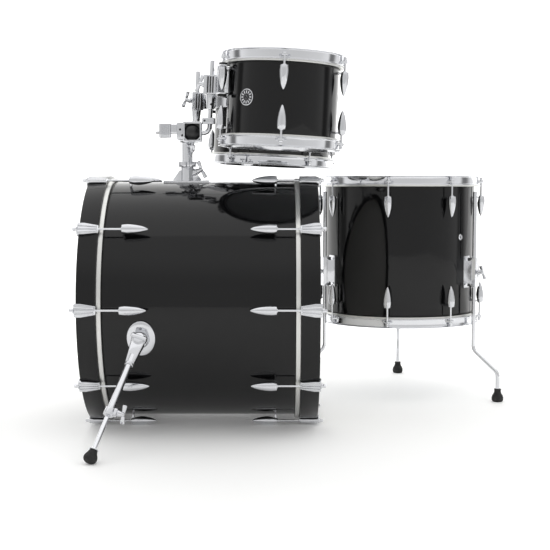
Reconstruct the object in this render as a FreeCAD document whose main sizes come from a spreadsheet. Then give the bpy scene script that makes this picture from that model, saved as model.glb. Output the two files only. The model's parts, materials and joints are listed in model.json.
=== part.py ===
import FreeCAD, Part
import math
import os
import Sketcher
from FreeCAD import Placement, Rotation, Vector

# Acoustic drum kit. X runs along the bass drum towards the drummer, Y across it from the near
# spur to the far one, Z up. The kit is laid out about the middle of the bass drum on the floor
# and is moved at the end so that the origin is under the middle of the whole kit. Every drum
# is drawn upright about its own Z axis, with its middle at its own origin.

DIMENSIONS = [
    # bass drum, 22 x 18
    ("bass_radius", 279.5, "outside of the shell"),
    ("bass_length", 457.0, "shell, edge to edge"),
    ("bass_wall", 7.5, "shell wall"),
    ("bass_lugs", 10, "lugs on each side"),
    ("bass_hoop_gap", 2.0, "shell to the inside of the wooden hoop"),
    ("bass_hoop_wall", 12.5, "wooden hoop, radial"),
    ("bass_hoop_width", 42.5, "wooden hoop, along the drum"),
    ("bass_hoop_overlap", 4.5, "wooden hoop past the bearing edge"),
    ("bass_hoop_round", 2.5, "rounded edge of a wooden hoop"),
    ("bass_flesh_width", 11.0, "flesh hoop, along the drum"),
    ("bass_flesh_wall", 7.4, "flesh hoop, radial"),
    ("bass_lug_inset", 57.5, "edge of the shell to the wide end of a lug"),
    ("bass_lug_length", 59.0, "lug casting"),
    ("bass_lug_width", 22.4, "lug casting"),
    ("bass_rod_offset", 17.6, "shell to the tension rods"),
    ("claw_width", 27.0, "claw at its wide end"),
    ("claw_neck", 18.0, "claw at its narrow end"),
    ("claw_metal", 3.5, "claw over the hoop's outer face"),
    ("claw_depth", 10.0, "claw above the hoop"),
    ("claw_lip", 2.5, "claw short of the hoop's inside"),
    ("rod_diameter", 5.0, "tension rods"),
    ("rod_head", 7.0, "square head of a tension rod"),
    ("rod_grip", 28.0, "tension rod inside its lug"),
    ("rod_washer", 1.6, "washer under a rod's head"),
    ("rod_collar", 2.4, "round collar under a rod's head"),
    # steel hoops of the three toms
    ("tom_wall", 6.0, "tom shells"),
    ("tom_hoop_gap", 9.7, "shell to the inside of a steel hoop"),
    ("tom_hoop_metal", 2.3, "steel hoop"),
    ("tom_hoop_height", 24.0, "steel hoop"),
    ("tom_hoop_rise", 19.0, "hoop rim above the bearing edge"),
    ("tom_flange", 4.5, "flange of a steel hoop"),
    ("tom_ear_level", 8.0, "lower edge of a steel hoop to the middle of its ears"),
    ("tom_ear_depth", 13.0, "ear of a steel hoop, radial"),
    ("tom_ear_width", 19.0, "ear of a steel hoop, around the drum"),
    ("tom_ear_metal", 4.0, "ear of a steel hoop"),
    ("tom_rod_offset", 18.0, "shell to the tension rods"),
    ("tom_lug_length", 54.0, "lug casting"),
    ("tom_lug_width", 20.6, "lug casting"),
    ("tom_lug_inset", 19.0, "bearing edge to the wide end of a lug"),
    ("film", 0.6, "drum head film"),
    ("flesh_gap", 1.1, "shell to the inside of a flesh hoop"),
    ("flesh_sink", 2.0, "bearing edge to the top of a tom's flesh hoop"),
    ("flesh_foot", 9.0, "bearing edge to the bottom of a tom's flesh hoop"),
    ("edge_flat", 4.0, "bearing edge, from the outside of the shell to its crest"),
    # small tom, 10 x 7
    ("small_radius", 127.0, "outside of the shell"),
    ("small_length", 178.0, "shell, edge to edge"),
    ("small_lugs", 5, "lugs on each side"),
    ("small_reach", 50.0, "shell to the arm rod"),
    # medium tom, 12 x 8
    ("medium_radius", 152.4, "outside of the shell"),
    ("medium_length", 203.0, "shell, edge to edge"),
    ("medium_lugs", 5, "lugs on each side"),
    ("medium_reach", 55.0, "shell to the arm rod"),
    # floor tom, 16 x 14
    ("floor_radius", 203.2, "outside of the shell"),
    ("floor_length", 356.0, "shell, edge to edge"),
    ("floor_lugs", 8, "lugs on each side"),
    ("floor_height", 394.5, "floor to the middle of the shell"),
    ("floor_gap", 38.3, "bass drum's hoop to the floor tom's shell, along X"),
    ("floor_y", 390.0, "bass drum's middle to the floor tom's middle, along Y"),
    ("floor_turn", -36.0, "degrees to the first leg"),
    ("floor_lug_turn", 22.5, "degrees from the first leg to a lug"),
    ("floor_lug_inset", 35.0, "bearing edge to the wide end of a lug"),
    ("leg_diameter", 10.5, "floor tom legs"),
    ("leg_offset", 25.0, "shell to the legs"),
    ("leg_top", 550.0, "top of the legs"),
    ("leg_knee", 132.0, "where a leg turns outwards"),
    ("leg_ankle", 76.0, "where a leg turns down again"),
    ("leg_splay", 72.0, "outward step of a leg"),
    ("leg_bend", 16.0, "bend radius of a leg"),
    ("leg_foot", 30.0, "rubber foot of a leg"),
    ("leg_foot_height", 34.0, "rubber foot of a leg"),
    ("leg_foot_sole", 12.0, "rubber under the end of a leg"),
    ("leg_bracket_height", 76.0, "leg bracket"),
    ("leg_block_depth", 22.0, "clamp block of a leg bracket, radial"),
    ("leg_block_width", 24.0, "clamp block of a leg bracket"),
    ("leg_neck_depth", 26.0, "neck of a leg bracket, radial"),
    ("leg_pad_width", 30.0, "pad of a leg bracket on the shell"),
    ("leg_pad_metal", 4.0, "pad of a leg bracket"),
    ("leg_bracket_middle", 338.0, "floor to the middle of a leg bracket"),
    # spurs
    ("spur_x", -127.0, "spur pivot, along the drum"),
    ("spur_angle", 13.0, "spur pivot, below the drum's middle height"),
    ("spur_standoff", 25.5, "shell to the spur pivot"),
    ("spur_foot_x", -210.0, "where the spur meets the floor"),
    ("spur_foot_y", 474.0, "where the spur meets the floor"),
    ("spur_plate_length", 63.0, "spur bracket plate, along the drum"),
    ("spur_plate_height", 80.0, "spur bracket plate, around the drum"),
    ("spur_plate", 5.0, "spur bracket plate"),
    ("spur_boss", 32.0, "spur bracket boss"),
    ("spur_pin", 10.0, "spur pivot pin"),
    ("spur_tube", 16.0, "outer spur tube"),
    ("spur_tube_end", 190.0, "pivot to the end of the outer spur tube"),
    ("spur_rod", 10.0, "inner spur rod"),
    ("spur_overlap", 110.0, "inner rod inside the outer tube"),
    ("spur_foot", 31.0, "rubber foot of a spur"),
    ("spur_foot_squash", 0.36, "height of the foot's middle over its diameter"),
    ("spur_clamp", 22.0, "clamp at the end of the outer spur tube"),
    ("spur_screw_reach", 17.0, "spur tube's axis to the head of its screw"),
    # tom holder
    ("holder_x", -44.0, "holder post from the bass drum's middle"),
    ("post_diameter", 25.4, "holder post"),
    ("post_wall", 2.5, "holder post"),
    ("post_clearance", 3.0, "holder post to its hole in the shell"),
    ("post_drop", 130.0, "holder post inside the bass drum"),
    ("tower_diameter", 31.0, "holder tower"),
    ("tower_height", 36.0, "shell to the top of the tower"),
    ("gusset_length", 70.0, "gusset of the tower at the shell"),
    ("gusset_top", 36.0, "gusset of the tower at its top"),
    ("gusset_height", 28.0, "gusset of the tower"),
    ("gusset_metal", 14.0, "gusset of the tower"),
    ("holder_bolt_reach", 25.0, "post's axis to the head of the holder bolt"),
    ("holder_bolt_rise", 25.0, "degrees that the holder bolt points upwards"),
    ("holder_bolt_height", 14.0, "shell to where the holder bolt's line meets the post's axis"),
    ("holder_bolt_boss", 17.0, "boss of the holder bolt"),
    ("base_length", 108.0, "holder base plate, along the drum"),
    ("base_width", 66.0, "holder base plate, across the drum"),
    ("base_plate", 5.0, "holder base plate"),
    ("collar_diameter", 44.0, "memory collar"),
    ("collar_height", 12.0, "memory collar"),
    ("head_height", 45.0, "holder head"),
    ("head_diameter", 42.0, "holder head around the post"),
    ("head_roof", 4.0, "holder head over the end of the post"),
    ("head_block_length", 44.0, "block on the front of the holder head"),
    ("head_block_width", 30.0, "block on the front of the holder head"),
    ("head_block_height", 36.0, "blocks of the holder head"),
    ("ball_height", 116.5, "balls above the top of the bass shell"),
    ("ball_diameter", 44.0, "nylon balls"),
    ("jaw_gap", 22.0, "between the two jaws of a ball clamp"),
    ("jaw_plate", 6.0, "jaws of a ball clamp"),
    ("jaw_size", 48.0, "jaws of a ball clamp"),
    ("small_ball_x", 16.0, "small tom ball from the post"),
    ("small_ball_y", -42.0, "small tom ball from the post"),
    ("medium_ball_x", 4.0, "medium tom ball from the post"),
    ("medium_ball_y", 46.0, "medium tom ball from the post"),
    ("arm_diameter", 11.0, "tom arms"),
    ("arm_bend", 15.0, "bend radius of a tom arm"),
    ("arm_rise", 170.0, "tom arm above its ball"),
    ("small_arm_run", 40.0, "ball to the upright of the small tom's arm"),
    ("medium_arm_run", 182.0, "ball to the upright of the medium tom's arm"),
    ("small_tom_rise", 77.0, "ball to the middle of the small tom"),
    ("medium_tom_rise", 57.0, "ball to the middle of the medium tom"),
    ("tom_tilt", 2.7, "degrees that the toms lean towards the drummer"),
    ("small_mount_angle", 162.0, "direction of the small tom's mount"),
    ("medium_mount_angle", 197.0, "direction of the medium tom's mount"),
    ("mount_height", 45.0, "mount block"),
    ("mount_width", 27.0, "mount block"),
    ("mount_depth", 30.0, "mount block, radial"),
    ("mount_web", 18.0, "web between the mount block and its plate"),
    ("mount_bolt_reach", 17.0, "arm rod to the head of the mount bolt"),
    ("band_gap", 24.0, "shell to the mount's curved plate"),
    ("mount_middle", 36.0, "middle of the tom to the middle of the mount block"),
    ("mount_plate", 3.0, "mount plate"),
    ("lock_height", 34.0, "memory lock under the mount block"),
    ("lock_diameter", 24.0, "memory lock"),
    ("isolator_diameter", 25.0, "rubber isolators"),
    ("isolator_height", 5.0, "rubber isolators"),
    ("badge_diameter", 38.0, "badge"),
    ("badge_turn", -129.0, "degrees from the drum's X axis to the badge"),
    ("badge_metal", 1.2, "badge"),
    ("vent_diameter", 6.4, "air vent through the badge"),
    # wing bolts and clearances
    ("bolt_diameter", 8.0, "wing bolt thread"),
    ("wing_span", 43.0, "wing bolt across its wings"),
    ("wing_height", 19.0, "wing of a wing bolt"),
    ("turning_fit", 0.05, "radial clearance of what turns or slides on a pin or rod"),
    ("bolt_fit", 0.2, "radial clearance of a bolt in its hole"),
    ("face_gap", 0.3, "between the faces of two pieces that move"),
]

doc = FreeCAD.newDocument("DrumKit")
kit = doc.addObject("Spreadsheet::Sheet", "kit")
for row, (alias, value, _) in enumerate(DIMENSIONS, start=1):
    kit.set(f"A{row}", str(value))
    kit.setAlias(f"A{row}", alias)
doc.recompute()

# the sub-parts that are written, in the order that they are made
parts = []

# longer than anything that it cuts or keeps
LONG = 1200
UPSIDE_DOWN = Placement(Vector(), Rotation(Vector(1, 0, 0), 180))


def num(text):
    """The value of an expression over the sheet's names."""
    return float(kit.evalExpression(text))


def at(x=0.0, y=0.0, z=0.0, axis=(0, 0, 1), angle=0.0):
    return Placement(Vector(x, y, z), Rotation(Vector(*axis), angle))


def pointing(position, direction):
    """A placement whose Z axis points along direction."""
    return Placement(Vector(position), Rotation(Vector(0, 0, 1), Vector(direction)))


def keep(piece, label):
    piece.Label = label
    parts.append(piece)
    return piece


def tied(piece, sizes):
    for name, text in sizes.items():
        piece.setExpression(name, text)
    return piece


def primitive(kind, placement=Placement(), **sizes):
    """A Part primitive whose sizes are expressions over the sheet."""
    piece = tied(doc.addObject("Part::" + kind, kind), sizes)
    piece.Placement = placement
    return piece


def centred_box(placement, length, width, height):
    """A box with its middle at the placement."""
    box = primitive("Box", Length=length, Width=width, Height=height)
    corner = Vector(-num(length) / 2, -num(width) / 2, -num(height) / 2)
    box.Placement = placement.multiply(Placement(corner, Rotation()))
    return box


def fused(*pieces):
    joined = doc.addObject("Part::MultiFuse", "Fusion")
    joined.Shapes = list(pieces)
    joined.Refine = True
    return joined


def less(base, *tools):
    """The base with each tool cut out of it."""
    for tool in tools:
        cut = doc.addObject("Part::Cut", "Cut")
        cut.Base = base
        cut.Tool = tool
        base = cut
    return base


def shared(*pieces):
    common = doc.addObject("Part::MultiCommon", "Common")
    common.Shapes = list(pieces)
    return common


def outline(body, role, corners):
    """A closed sketch on one of the body's own planes, each corner tied to the sheet."""
    plane = next(f for f in body.Origin.OriginFeatures if f.Role == role)
    sketch = body.newObject("Sketcher::SketchObject", "Outline")
    sketch.AttachmentSupport = [(plane, "")]
    sketch.MapMode = "FlatFace"
    points = [Vector(num(x), num(y), 0) for x, y in corners]
    count = len(points)
    for index in range(count):
        sketch.addGeometry(Part.LineSegment(points[index], points[(index + 1) % count]))
    for index, (x, y) in enumerate(corners):
        sketch.addConstraint(Sketcher.Constraint("Coincident", index, 2, (index + 1) % count, 1))
        for kind, text, axis in (("DistanceX", x, -2), ("DistanceY", y, -1)):
            if text == "0":
                sketch.addConstraint(Sketcher.Constraint("PointOnObject", index, 1, axis))
            else:
                rule = Sketcher.Constraint(kind, -1, 1, index, 1, num(text))
                sketch.setExpression(f"Constraints[{sketch.addConstraint(rule)}]", text)
    return sketch


def turned(corners, placement=Placement()):
    """A body turned about Z from (radius, height) corners."""
    body = doc.addObject("PartDesign::Body", "Turned")
    sketch = outline(body, "XZ_Plane", corners)
    turn = body.newObject("PartDesign::Revolution", "Turn")
    turn.Profile = sketch
    turn.ReferenceAxis = (sketch, ["V_Axis"])
    turn.Angle = 360
    body.Placement = placement
    return body


def padded(role, corners, length, placement=Placement()):
    """A body padded evenly to both sides of a plane."""
    body = doc.addObject("PartDesign::Body", "Padded")
    pad = body.newObject("PartDesign::Pad", "Pad")
    pad.Profile = outline(body, role, corners)
    pad.SideType = "Symmetric"
    pad.setExpression("Length", length)
    body.Placement = placement
    return body


def moved(shape, placement):
    """A copy of a shape, carried along with a placement."""
    copy = shape.copy()
    copy.Placement = placement.multiply(shape.Placement)
    return copy


def grouped(label, seed, placements):
    """Separate copies of one solid in a node of their own."""
    doc.recompute()
    return gathered(label, [moved(seed.Shape, placement) for placement in placements])


def gathered(label, shapes):
    group = doc.addObject("Part::Feature", "Group")
    group.Shape = shapes[0] if len(shapes) == 1 else Part.makeCompound(shapes)
    return keep(group, label)


def mirrored(piece):
    """The shape of the same piece on the other side of the bass drum."""
    return piece.Shape.mirror(Vector(0, 0, 0), Vector(0, 1, 0))


def bent_rod(corners, bend, radius):
    """A round rod along straight runs joined by arcs."""
    edges = []
    start = corners[0]
    for before, corner, after in zip(corners, corners[1:], corners[2:]):
        into = (corner - before).normalize()
        out = (after - corner).normalize()
        turn = into.getAngle(out)
        reach = bend * math.tan(turn / 2)
        first = corner - into * reach
        last = corner + out * reach
        inward = (out - into).normalize()
        middle = corner + inward * (bend / math.cos(turn / 2) - bend)
        edges.append(Part.LineSegment(start, first).toShape())
        edges.append(Part.Arc(first, middle, last).toShape())
        start = last
    edges.append(Part.LineSegment(start, corners[-1]).toShape())
    section = Part.Wire(Part.Circle(corners[0], corners[1] - corners[0], radius).toShape())
    return Part.Wire(edges).makePipeShell([section], True, False)


# ---------------------------------------------------------------- pieces that repeat


def lug(drum, family, top):
    """One lug at angle 0 with its wide end at the given height, bored for its rod."""
    width = f"kit.{family}_lug_width"
    length = f"kit.{family}_lug_length"
    reach = num(f"kit.{drum}_radius + kit.{family}_rod_offset")
    high = num(top)
    waist = high - num(length) * 0.4
    nose = primitive("Ellipsoid", at(reach, 0, waist), Radius1=f"{length} * 0.6",
                     Radius2=f"{width} / 2", Radius3=f"{width} / 2", Angle1="-90", Angle2="0")
    barrel = primitive("Cylinder", at(reach, 0, waist), Radius=f"{width} / 2",
                       Height=f"{length} * 0.4")
    foot = centred_box(at(reach - num(f"kit.{family}_rod_offset") / 2, 0, high - num(length) * 0.45),
                       f"kit.{family}_rod_offset + 4", f"{width} * 0.62", f"{length} * 0.88")
    shell = primitive("Cylinder", at(0, 0, -num(f"kit.{drum}_length")), Radius=f"kit.{drum}_radius",
                      Height=f"kit.{drum}_length * 2")
    end_play = 4
    bore = primitive("Cylinder", at(reach, 0, high - num("kit.rod_grip") - end_play),
                     Radius="kit.rod_diameter / 2 + kit.bolt_fit",
                     Height=f"kit.rod_grip + {2 * end_play}")
    return less(fused(nose, barrel, foot), shell, bore)


def tension_rod(drum, family, inner, seat):
    """One tension rod at angle 0, from inside its lug to its square head."""
    reach = num(f"kit.{drum}_radius + kit.{family}_rod_offset")
    shank = primitive("Cylinder", at(reach, 0, num(inner)), Radius="kit.rod_diameter / 2",
                      Height=f"{seat} - ({inner}) + kit.rod_washer + kit.rod_collar")
    washer = primitive("Cylinder", at(reach, 0, num(seat)), Radius="kit.rod_head * 0.8",
                       Height="kit.rod_washer")
    collar = primitive("Cylinder", at(reach, 0, num(f"{seat} + kit.rod_washer")),
                       Radius="kit.rod_head * 0.66", Height="kit.rod_collar")
    key = centred_box(at(reach, 0, num(f"{seat} + kit.rod_head")), "kit.rod_head", "kit.rod_head",
                      "kit.rod_head")
    return fused(shank, washer, collar, key)


def bass_cylinder(radius):
    """A long cylinder on the bass drum's axis."""
    return primitive("Cylinder", at(-LONG / 2, 0, bass_middle, (0, 1, 0), 90), Radius=radius,
                     Height=str(LONG))


def upright_ring(frame, inner, outer, height):
    """A ring about the frame's Z axis, centred on the frame."""
    return less(primitive("Cylinder", frame.multiply(at(z=-height / 2)), Radius=outer, Height=str(height)),
                primitive("Cylinder", frame.multiply(at(z=-height / 2)), Radius=inner, Height=str(height)))


def around(frame, count, start):
    """Placements around a drum, at its top and, turned over in line with those, at its bottom."""
    turns = [at(angle=start + 360.0 * index / count) for index in range(count)]
    below = frame.multiply(at(angle=2 * start)).multiply(UPSIDE_DOWN)
    return [end.multiply(turn) for end in (frame, below) for turn in turns]


def drum_shell(drum, wall):
    outer, half = f"kit.{drum}_radius", f"kit.{drum}_length / 2"
    inner = f"{outer} - kit.{wall}"
    crest = f"{outer} - kit.edge_flat"
    shoulder = f"{half} - kit.edge_flat"
    bevel = f"{half} - (kit.{wall} - kit.edge_flat)"
    return turned([(outer, f"-({shoulder})"), (outer, shoulder), (crest, half), (inner, bevel),
                   (inner, f"-({bevel})"), (crest, f"-({half})")])


def drum_head(drum, flesh_in, flesh_out, flesh_low, flesh_high):
    """The film over the top bearing edge with its flesh hoop, as one piece."""
    edge, half = f"kit.{drum}_radius", f"kit.{drum}_length / 2"
    return turned([("0", half), (f"{edge} - kit.edge_flat + 0.5", half),
                   (f"{edge} + 0.5", f"{half} - kit.edge_flat"), (f"{edge} + 0.5", flesh_low),
                   (flesh_out, flesh_low), (flesh_out, flesh_high), (flesh_in, flesh_high),
                   (flesh_in, f"{half} - kit.edge_flat + kit.film"),
                   (f"{edge} - kit.edge_flat + 0.5 + kit.film", f"{half} + kit.film"),
                   ("0", f"{half} + kit.film")])


def wing_bolt(place, shank):
    """A wing bolt whose head starts at the placement and whose shank runs back along -Z."""
    thread_in_head = 2
    body = primitive("Cylinder", at(z=-shank), Radius="kit.bolt_diameter / 2")
    body.Height = shank + thread_in_head
    cone = primitive("Cone", Radius1="kit.bolt_diameter / 2 + 3", Radius2="kit.bolt_diameter / 2 + 0.5",
                     Height="kit.wing_height - 4")
    half = [("5", "3"), ("kit.wing_span / 2 - 4", "kit.wing_height * 0.4"),
            ("kit.wing_span / 2", "kit.wing_height * 0.7"),
            ("kit.wing_span / 2 - 3", "kit.wing_height"),
            ("kit.wing_span * 0.3", "kit.wing_height * 1.02"), ("4", "kit.wing_height * 0.72")]
    wings = padded("XZ_Plane", half + [(f"-({x})", z) for x, z in reversed(half)], "5")
    piece = fused(body, cone, wings)
    piece.Placement = place
    return piece


def bolt_hole(place, depth):
    """The hole that a wing bolt's shank runs in."""
    way_out = 30
    hole = primitive("Cylinder", place.multiply(at(z=-depth)),
                     Radius="kit.bolt_diameter / 2 + kit.bolt_fit")
    hole.Height = depth + way_out
    return hole


# ---------------------------------------------------------------- bass drum

hoop_radius = num("kit.bass_radius + kit.bass_hoop_gap + kit.bass_hoop_wall")
bass_middle = hoop_radius
bass = Placement(Vector(0, 0, bass_middle), Rotation(Vector(1, 1, 1), 120))
hoop_start = "kit.bass_length / 2 - kit.bass_hoop_overlap"
hoop_end = f"{hoop_start} + kit.bass_hoop_width"

# the post of the tom holder passes through the top of the shell
shell = less(drum_shell("bass", "bass_wall"),
             primitive("Cylinder", at(0, 0, num("kit.holder_x"), (1, 0, 0), -90),
                       Radius="kit.post_diameter / 2 + kit.post_clearance",
                       Height="kit.bass_radius * 1.2"))
shell.Placement = bass
keep(shell, "bass_shell")

head = drum_head("bass", "kit.bass_radius + kit.flesh_gap",
                 "kit.bass_radius + kit.flesh_gap + kit.bass_flesh_wall",
                 f"{hoop_start} - kit.bass_flesh_width", hoop_start)
ends = [bass, bass.multiply(UPSIDE_DOWN)]
grouped("bass_heads", head, ends)

hoop_in = "kit.bass_radius + kit.bass_hoop_gap"
hoop_out = f"{hoop_in} + kit.bass_hoop_wall"
hoop = turned([(hoop_in, hoop_start), (hoop_out, hoop_start),
               (hoop_out, f"{hoop_end} - kit.bass_hoop_round"),
               (f"{hoop_out} - kit.bass_hoop_round", hoop_end),
               (f"{hoop_in} + kit.bass_hoop_round", hoop_end),
               (hoop_in, f"{hoop_end} - kit.bass_hoop_round")])
grouped("bass_hoops", hoop, ends)

bass_count = int(num("kit.bass_lugs"))
bass_places = around(bass, bass_count, 0.0)
bass_lug_top = "kit.bass_length / 2 - kit.bass_lug_inset"
grouped("bass_lugs", lug("bass", "bass", bass_lug_top), bass_places)

# a claw lies over the hoop and hooks over its outer face, with its rod through it
claw_low, claw_high = f"{hoop_start} - 2", f"{hoop_end} + kit.claw_metal"
claw_under, claw_inside = f"{hoop_out} + 0.2", f"{hoop_in} + kit.claw_lip"
claw_ridge, claw_edge = f"{hoop_out} + kit.claw_depth", f"{hoop_out} + kit.claw_depth - 2"
side = padded("XZ_Plane", [(claw_under, claw_low), (claw_edge, claw_low), (claw_ridge, f"{hoop_end} - 4"),
                           (claw_edge, claw_high), (claw_inside, claw_high),
                           (claw_inside, f"{hoop_end} + 0.2"), (claw_under, f"{hoop_end} + 0.2")],
              "kit.claw_width")
half_face = [("kit.claw_neck / 2", claw_low), ("kit.claw_width / 2", f"{hoop_end} - 8"),
             ("kit.claw_width / 2", f"{hoop_end} + 10")]
face = padded("YZ_Plane", half_face + [(f"-{x}", z) for x, z in reversed(half_face)],
              "kit.bass_radius * 3")
claw_bore = primitive("Cylinder", at(num("kit.bass_radius + kit.bass_rod_offset"), 0, 0),
                      Radius="kit.rod_diameter / 2 + kit.bolt_fit", Height="kit.bass_length")
grouped("bass_claws", less(shared(side, face), claw_bore), bass_places)
grouped("bass_rods", tension_rod("bass", "bass", f"{bass_lug_top} - kit.rod_grip",
                                 f"{hoop_end} + kit.claw_metal"), bass_places)

# ---------------------------------------------------------------- spurs

angle = math.radians(num("kit.spur_angle"))
outward = Vector(0, -math.cos(angle), -math.sin(angle))
pivot = outward * num("kit.bass_radius + kit.spur_standoff")
pivot += Vector(num("kit.spur_x"), 0, bass_middle)
spur_end = Vector(num("kit.spur_foot_x"), -num("kit.spur_foot_y"), 0)
leg_line = (spur_end - pivot).normalize()
spur_axis = leg_line.cross(Vector(1, 0, 0)).normalize()
# in a spur's own frame X runs down the leg and Z along the pivot
spur = Placement(pivot, Rotation(leg_line, spur_axis.cross(leg_line), spur_axis, "ZXY"))

shell_ring = less(bass_cylinder("kit.bass_radius + kit.spur_plate"), bass_cylinder("kit.bass_radius"))
oval = primitive("Ellipsoid", Radius1="400", Radius2="kit.spur_plate_length / 2",
                 Radius3="kit.spur_plate_height / 2", Angle1="-90", Angle2="90")
oval.Placement = Placement(pivot, Rotation(Vector(1, 0, 0), outward.cross(Vector(1, 0, 0)),
                                           outward, "ZXY"))
plate = shared(oval, shell_ring, centred_box(Placement(pivot, Rotation()), "200", "200", "200"))
hub_low = num("2 + kit.face_gap")
hub_high = 2 * hub_low + num("kit.spur_tube - 2 * kit.face_gap")
boss = less(primitive("Cone", spur.multiply(at(z=-38)), Radius1="kit.spur_boss / 2 + 6",
                      Radius2="kit.spur_boss / 2", Height="40"), bass_cylinder("kit.bass_radius"))
pin = primitive("Cylinder", spur, Radius="kit.spur_pin / 2")
pin.Height = hub_high + 2
cap = primitive("Cylinder", spur.multiply(at(z=hub_high + num("kit.face_gap"))), Radius="10.5",
                Height="3.5")
bracket = fused(plate, boss, pin, cap)
doc.recompute()
gathered("spur_brackets", [bracket.Shape.copy(), mirrored(bracket)])

tube_height = hub_low + num("kit.spur_tube") / 2
tube_end = num("kit.spur_tube_end")
clamp_middle = tube_end - num("kit.spur_clamp") / 2


def down_spur(start):
    """A placement on the spur tube's axis whose Z axis runs towards the foot."""
    return spur.multiply(at(start, 0, tube_height, (0, 1, 0), 90))


hub = primitive("Cylinder", spur.multiply(at(z=hub_low)), Radius="kit.spur_boss / 2 + 1")
hub.Height = hub_high - hub_low
yoke_box = centred_box(spur.multiply(at(30, 0, tube_height)), "80", "40", "kit.spur_tube")
yoke = shared(primitive("Cone", down_spur(4), Radius1="kit.spur_tube / 2 + 4.5",
                        Radius2="kit.spur_tube / 2", Height="60"), yoke_box)
tube = primitive("Cylinder", down_spur(4), Radius="kit.spur_tube / 2", Height="kit.spur_tube_end - 4")
clamp = primitive("Cylinder", down_spur(tube_end - num("kit.spur_clamp")),
                  Radius="kit.spur_tube / 2 + 3", Height="kit.spur_clamp")
screw_reach = num("kit.spur_screw_reach")
screw_line = pointing(spur.multVec(Vector(clamp_middle, screw_reach, tube_height)),
                      spur.Rotation.multVec(Vector(0, 1, 0)))
ear = primitive("Cylinder", screw_line.multiply(at(z=-screw_reach)), Radius="7",
                Height="kit.spur_screw_reach - kit.face_gap")
rod_start = tube_end - num("kit.spur_overlap")
inner = primitive("Cylinder", down_spur(26), Radius="kit.spur_rod / 2 + kit.turning_fit",
                  Height="kit.spur_tube_end")
pin_hole = primitive("Cylinder", spur, Radius="kit.spur_pin / 2 + kit.turning_fit", Height="40")
screw_depth = num("kit.spur_screw_reach - kit.spur_rod / 2") - 0.5
leg = less(fused(hub, yoke, tube, clamp, ear), inner, pin_hole, bolt_hole(screw_line, screw_depth))
# the rubber ball stands on the floor, a little flattened
foot_rise = num("kit.spur_foot * kit.spur_foot_squash")
tube_start = spur.multVec(Vector(0, 0, tube_height))
foot_reach = (foot_rise - tube_start.z) / leg_line.z
foot_middle = spur.multVec(Vector(foot_reach, 0, tube_height))


def inner_rod():
    rod = primitive("Cylinder", down_spur(rod_start), Radius="kit.spur_rod / 2")
    rod.Height = foot_reach - rod_start
    return rod


rod = fused(inner_rod(), primitive("Cylinder", down_spur(foot_reach - 19), Radius="kit.spur_rod / 2 + 6",
                                   Height="2.5"))
ball_foot = fused(primitive("Sphere", Placement(foot_middle, Rotation()), Radius="kit.spur_foot / 2"),
                  primitive("Cylinder", down_spur(foot_reach - 16), Radius="kit.spur_rod / 2 + 5",
                            Height="16"))
ground = primitive("Box", at(-LONG, -LONG, -200), Length=str(2 * LONG), Width=str(2 * LONG), Height="200")
foot = less(ball_foot, inner_rod(), ground)
screw = wing_bolt(screw_line, screw_depth - 0.5)
doc.recompute()
for name, piece in (("leg", leg), ("rod", rod), ("foot", foot), ("wing", screw)):
    keep(piece, "near_spur_" + name)
    gathered("far_spur_" + name, [mirrored(piece)])

# ---------------------------------------------------------------- tom holder

holder_x = num("kit.holder_x")
shell_top = bass_middle + num("kit.bass_radius")
tower_top = shell_top + num("kit.tower_height")
post_fit = "kit.post_diameter / 2 + kit.turning_fit"
plate = shared(centred_box(at(holder_x, 0, shell_top), "kit.base_length", "kit.base_width", "40"),
               bass_cylinder("kit.bass_radius + kit.base_plate"))
tower = primitive("Cylinder", at(holder_x, 0, shell_top - 4), Radius="kit.tower_diameter / 2",
                  Height="kit.tower_height + 4")
slope = [("kit.gusset_length / 2", "-2"), ("kit.gusset_length / 2", "4"),
         ("kit.gusset_top / 2", "kit.gusset_height")]
gusset = padded("XZ_Plane", slope + [(f"-{x}", z) for x, z in reversed(slope)], "kit.gusset_metal",
                at(holder_x, 0, shell_top))
bolt_rise = math.radians(num("kit.holder_bolt_rise"))
bolt_way = Vector(math.cos(bolt_rise), 0, math.sin(bolt_rise))
bolt_reach = num("kit.holder_bolt_reach")
holder_bolt = pointing(Vector(holder_x, 0, shell_top + num("kit.holder_bolt_height"))
                       + bolt_way * bolt_reach, bolt_way)
boss_length = bolt_reach - 5
boss = primitive("Cylinder", holder_bolt.multiply(at(z=-boss_length)), Radius="kit.holder_bolt_boss / 2")
boss.Height = boss_length - num("kit.face_gap")
base = less(fused(plate, tower, gusset, boss), bass_cylinder("kit.bass_radius"),
            primitive("Cylinder", at(holder_x, 0, shell_top - 50), Radius=post_fit, Height="150"),
            bolt_hole(holder_bolt, boss_length))
keep(base, "holder_base")
post_side = num("kit.post_diameter / 2") / math.cos(bolt_rise)
keep(wing_bolt(holder_bolt, bolt_reach - post_side - 3), "holder_wing")

collar_low = tower_top + num("kit.face_gap")
ring = primitive("Cylinder", at(holder_x, 0, collar_low), Radius="kit.collar_diameter / 2",
                 Height="kit.collar_height")
collar_middle = collar_low + num("kit.collar_height") / 2
collar_front = at(holder_x, -num("kit.collar_diameter") / 2, collar_middle)
ear = centred_box(collar_front, "14", "16", "kit.collar_height")
slit = centred_box(collar_front, "2", "40", "60")
collar = less(fused(ring, ear), slit,
              primitive("Cylinder", at(holder_x, 0, collar_low - 5), Radius=post_fit, Height="50"))
keep(collar, "holder_collar")

ball_z = shell_top + num("kit.ball_height")
head_low = ball_z - num("kit.head_height") / 2
post_bottom = shell_top - num("kit.post_drop")
post = less(primitive("Cylinder", at(holder_x, 0, post_bottom), Radius="kit.post_diameter / 2"),
            primitive("Cylinder", at(holder_x, 0, post_bottom - 5),
                      Radius="kit.post_diameter / 2 - kit.post_wall", Height="500"))
post.Base.Height = head_low + num("kit.head_height - kit.head_roof") - post_bottom
keep(post, "holder_post")

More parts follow.
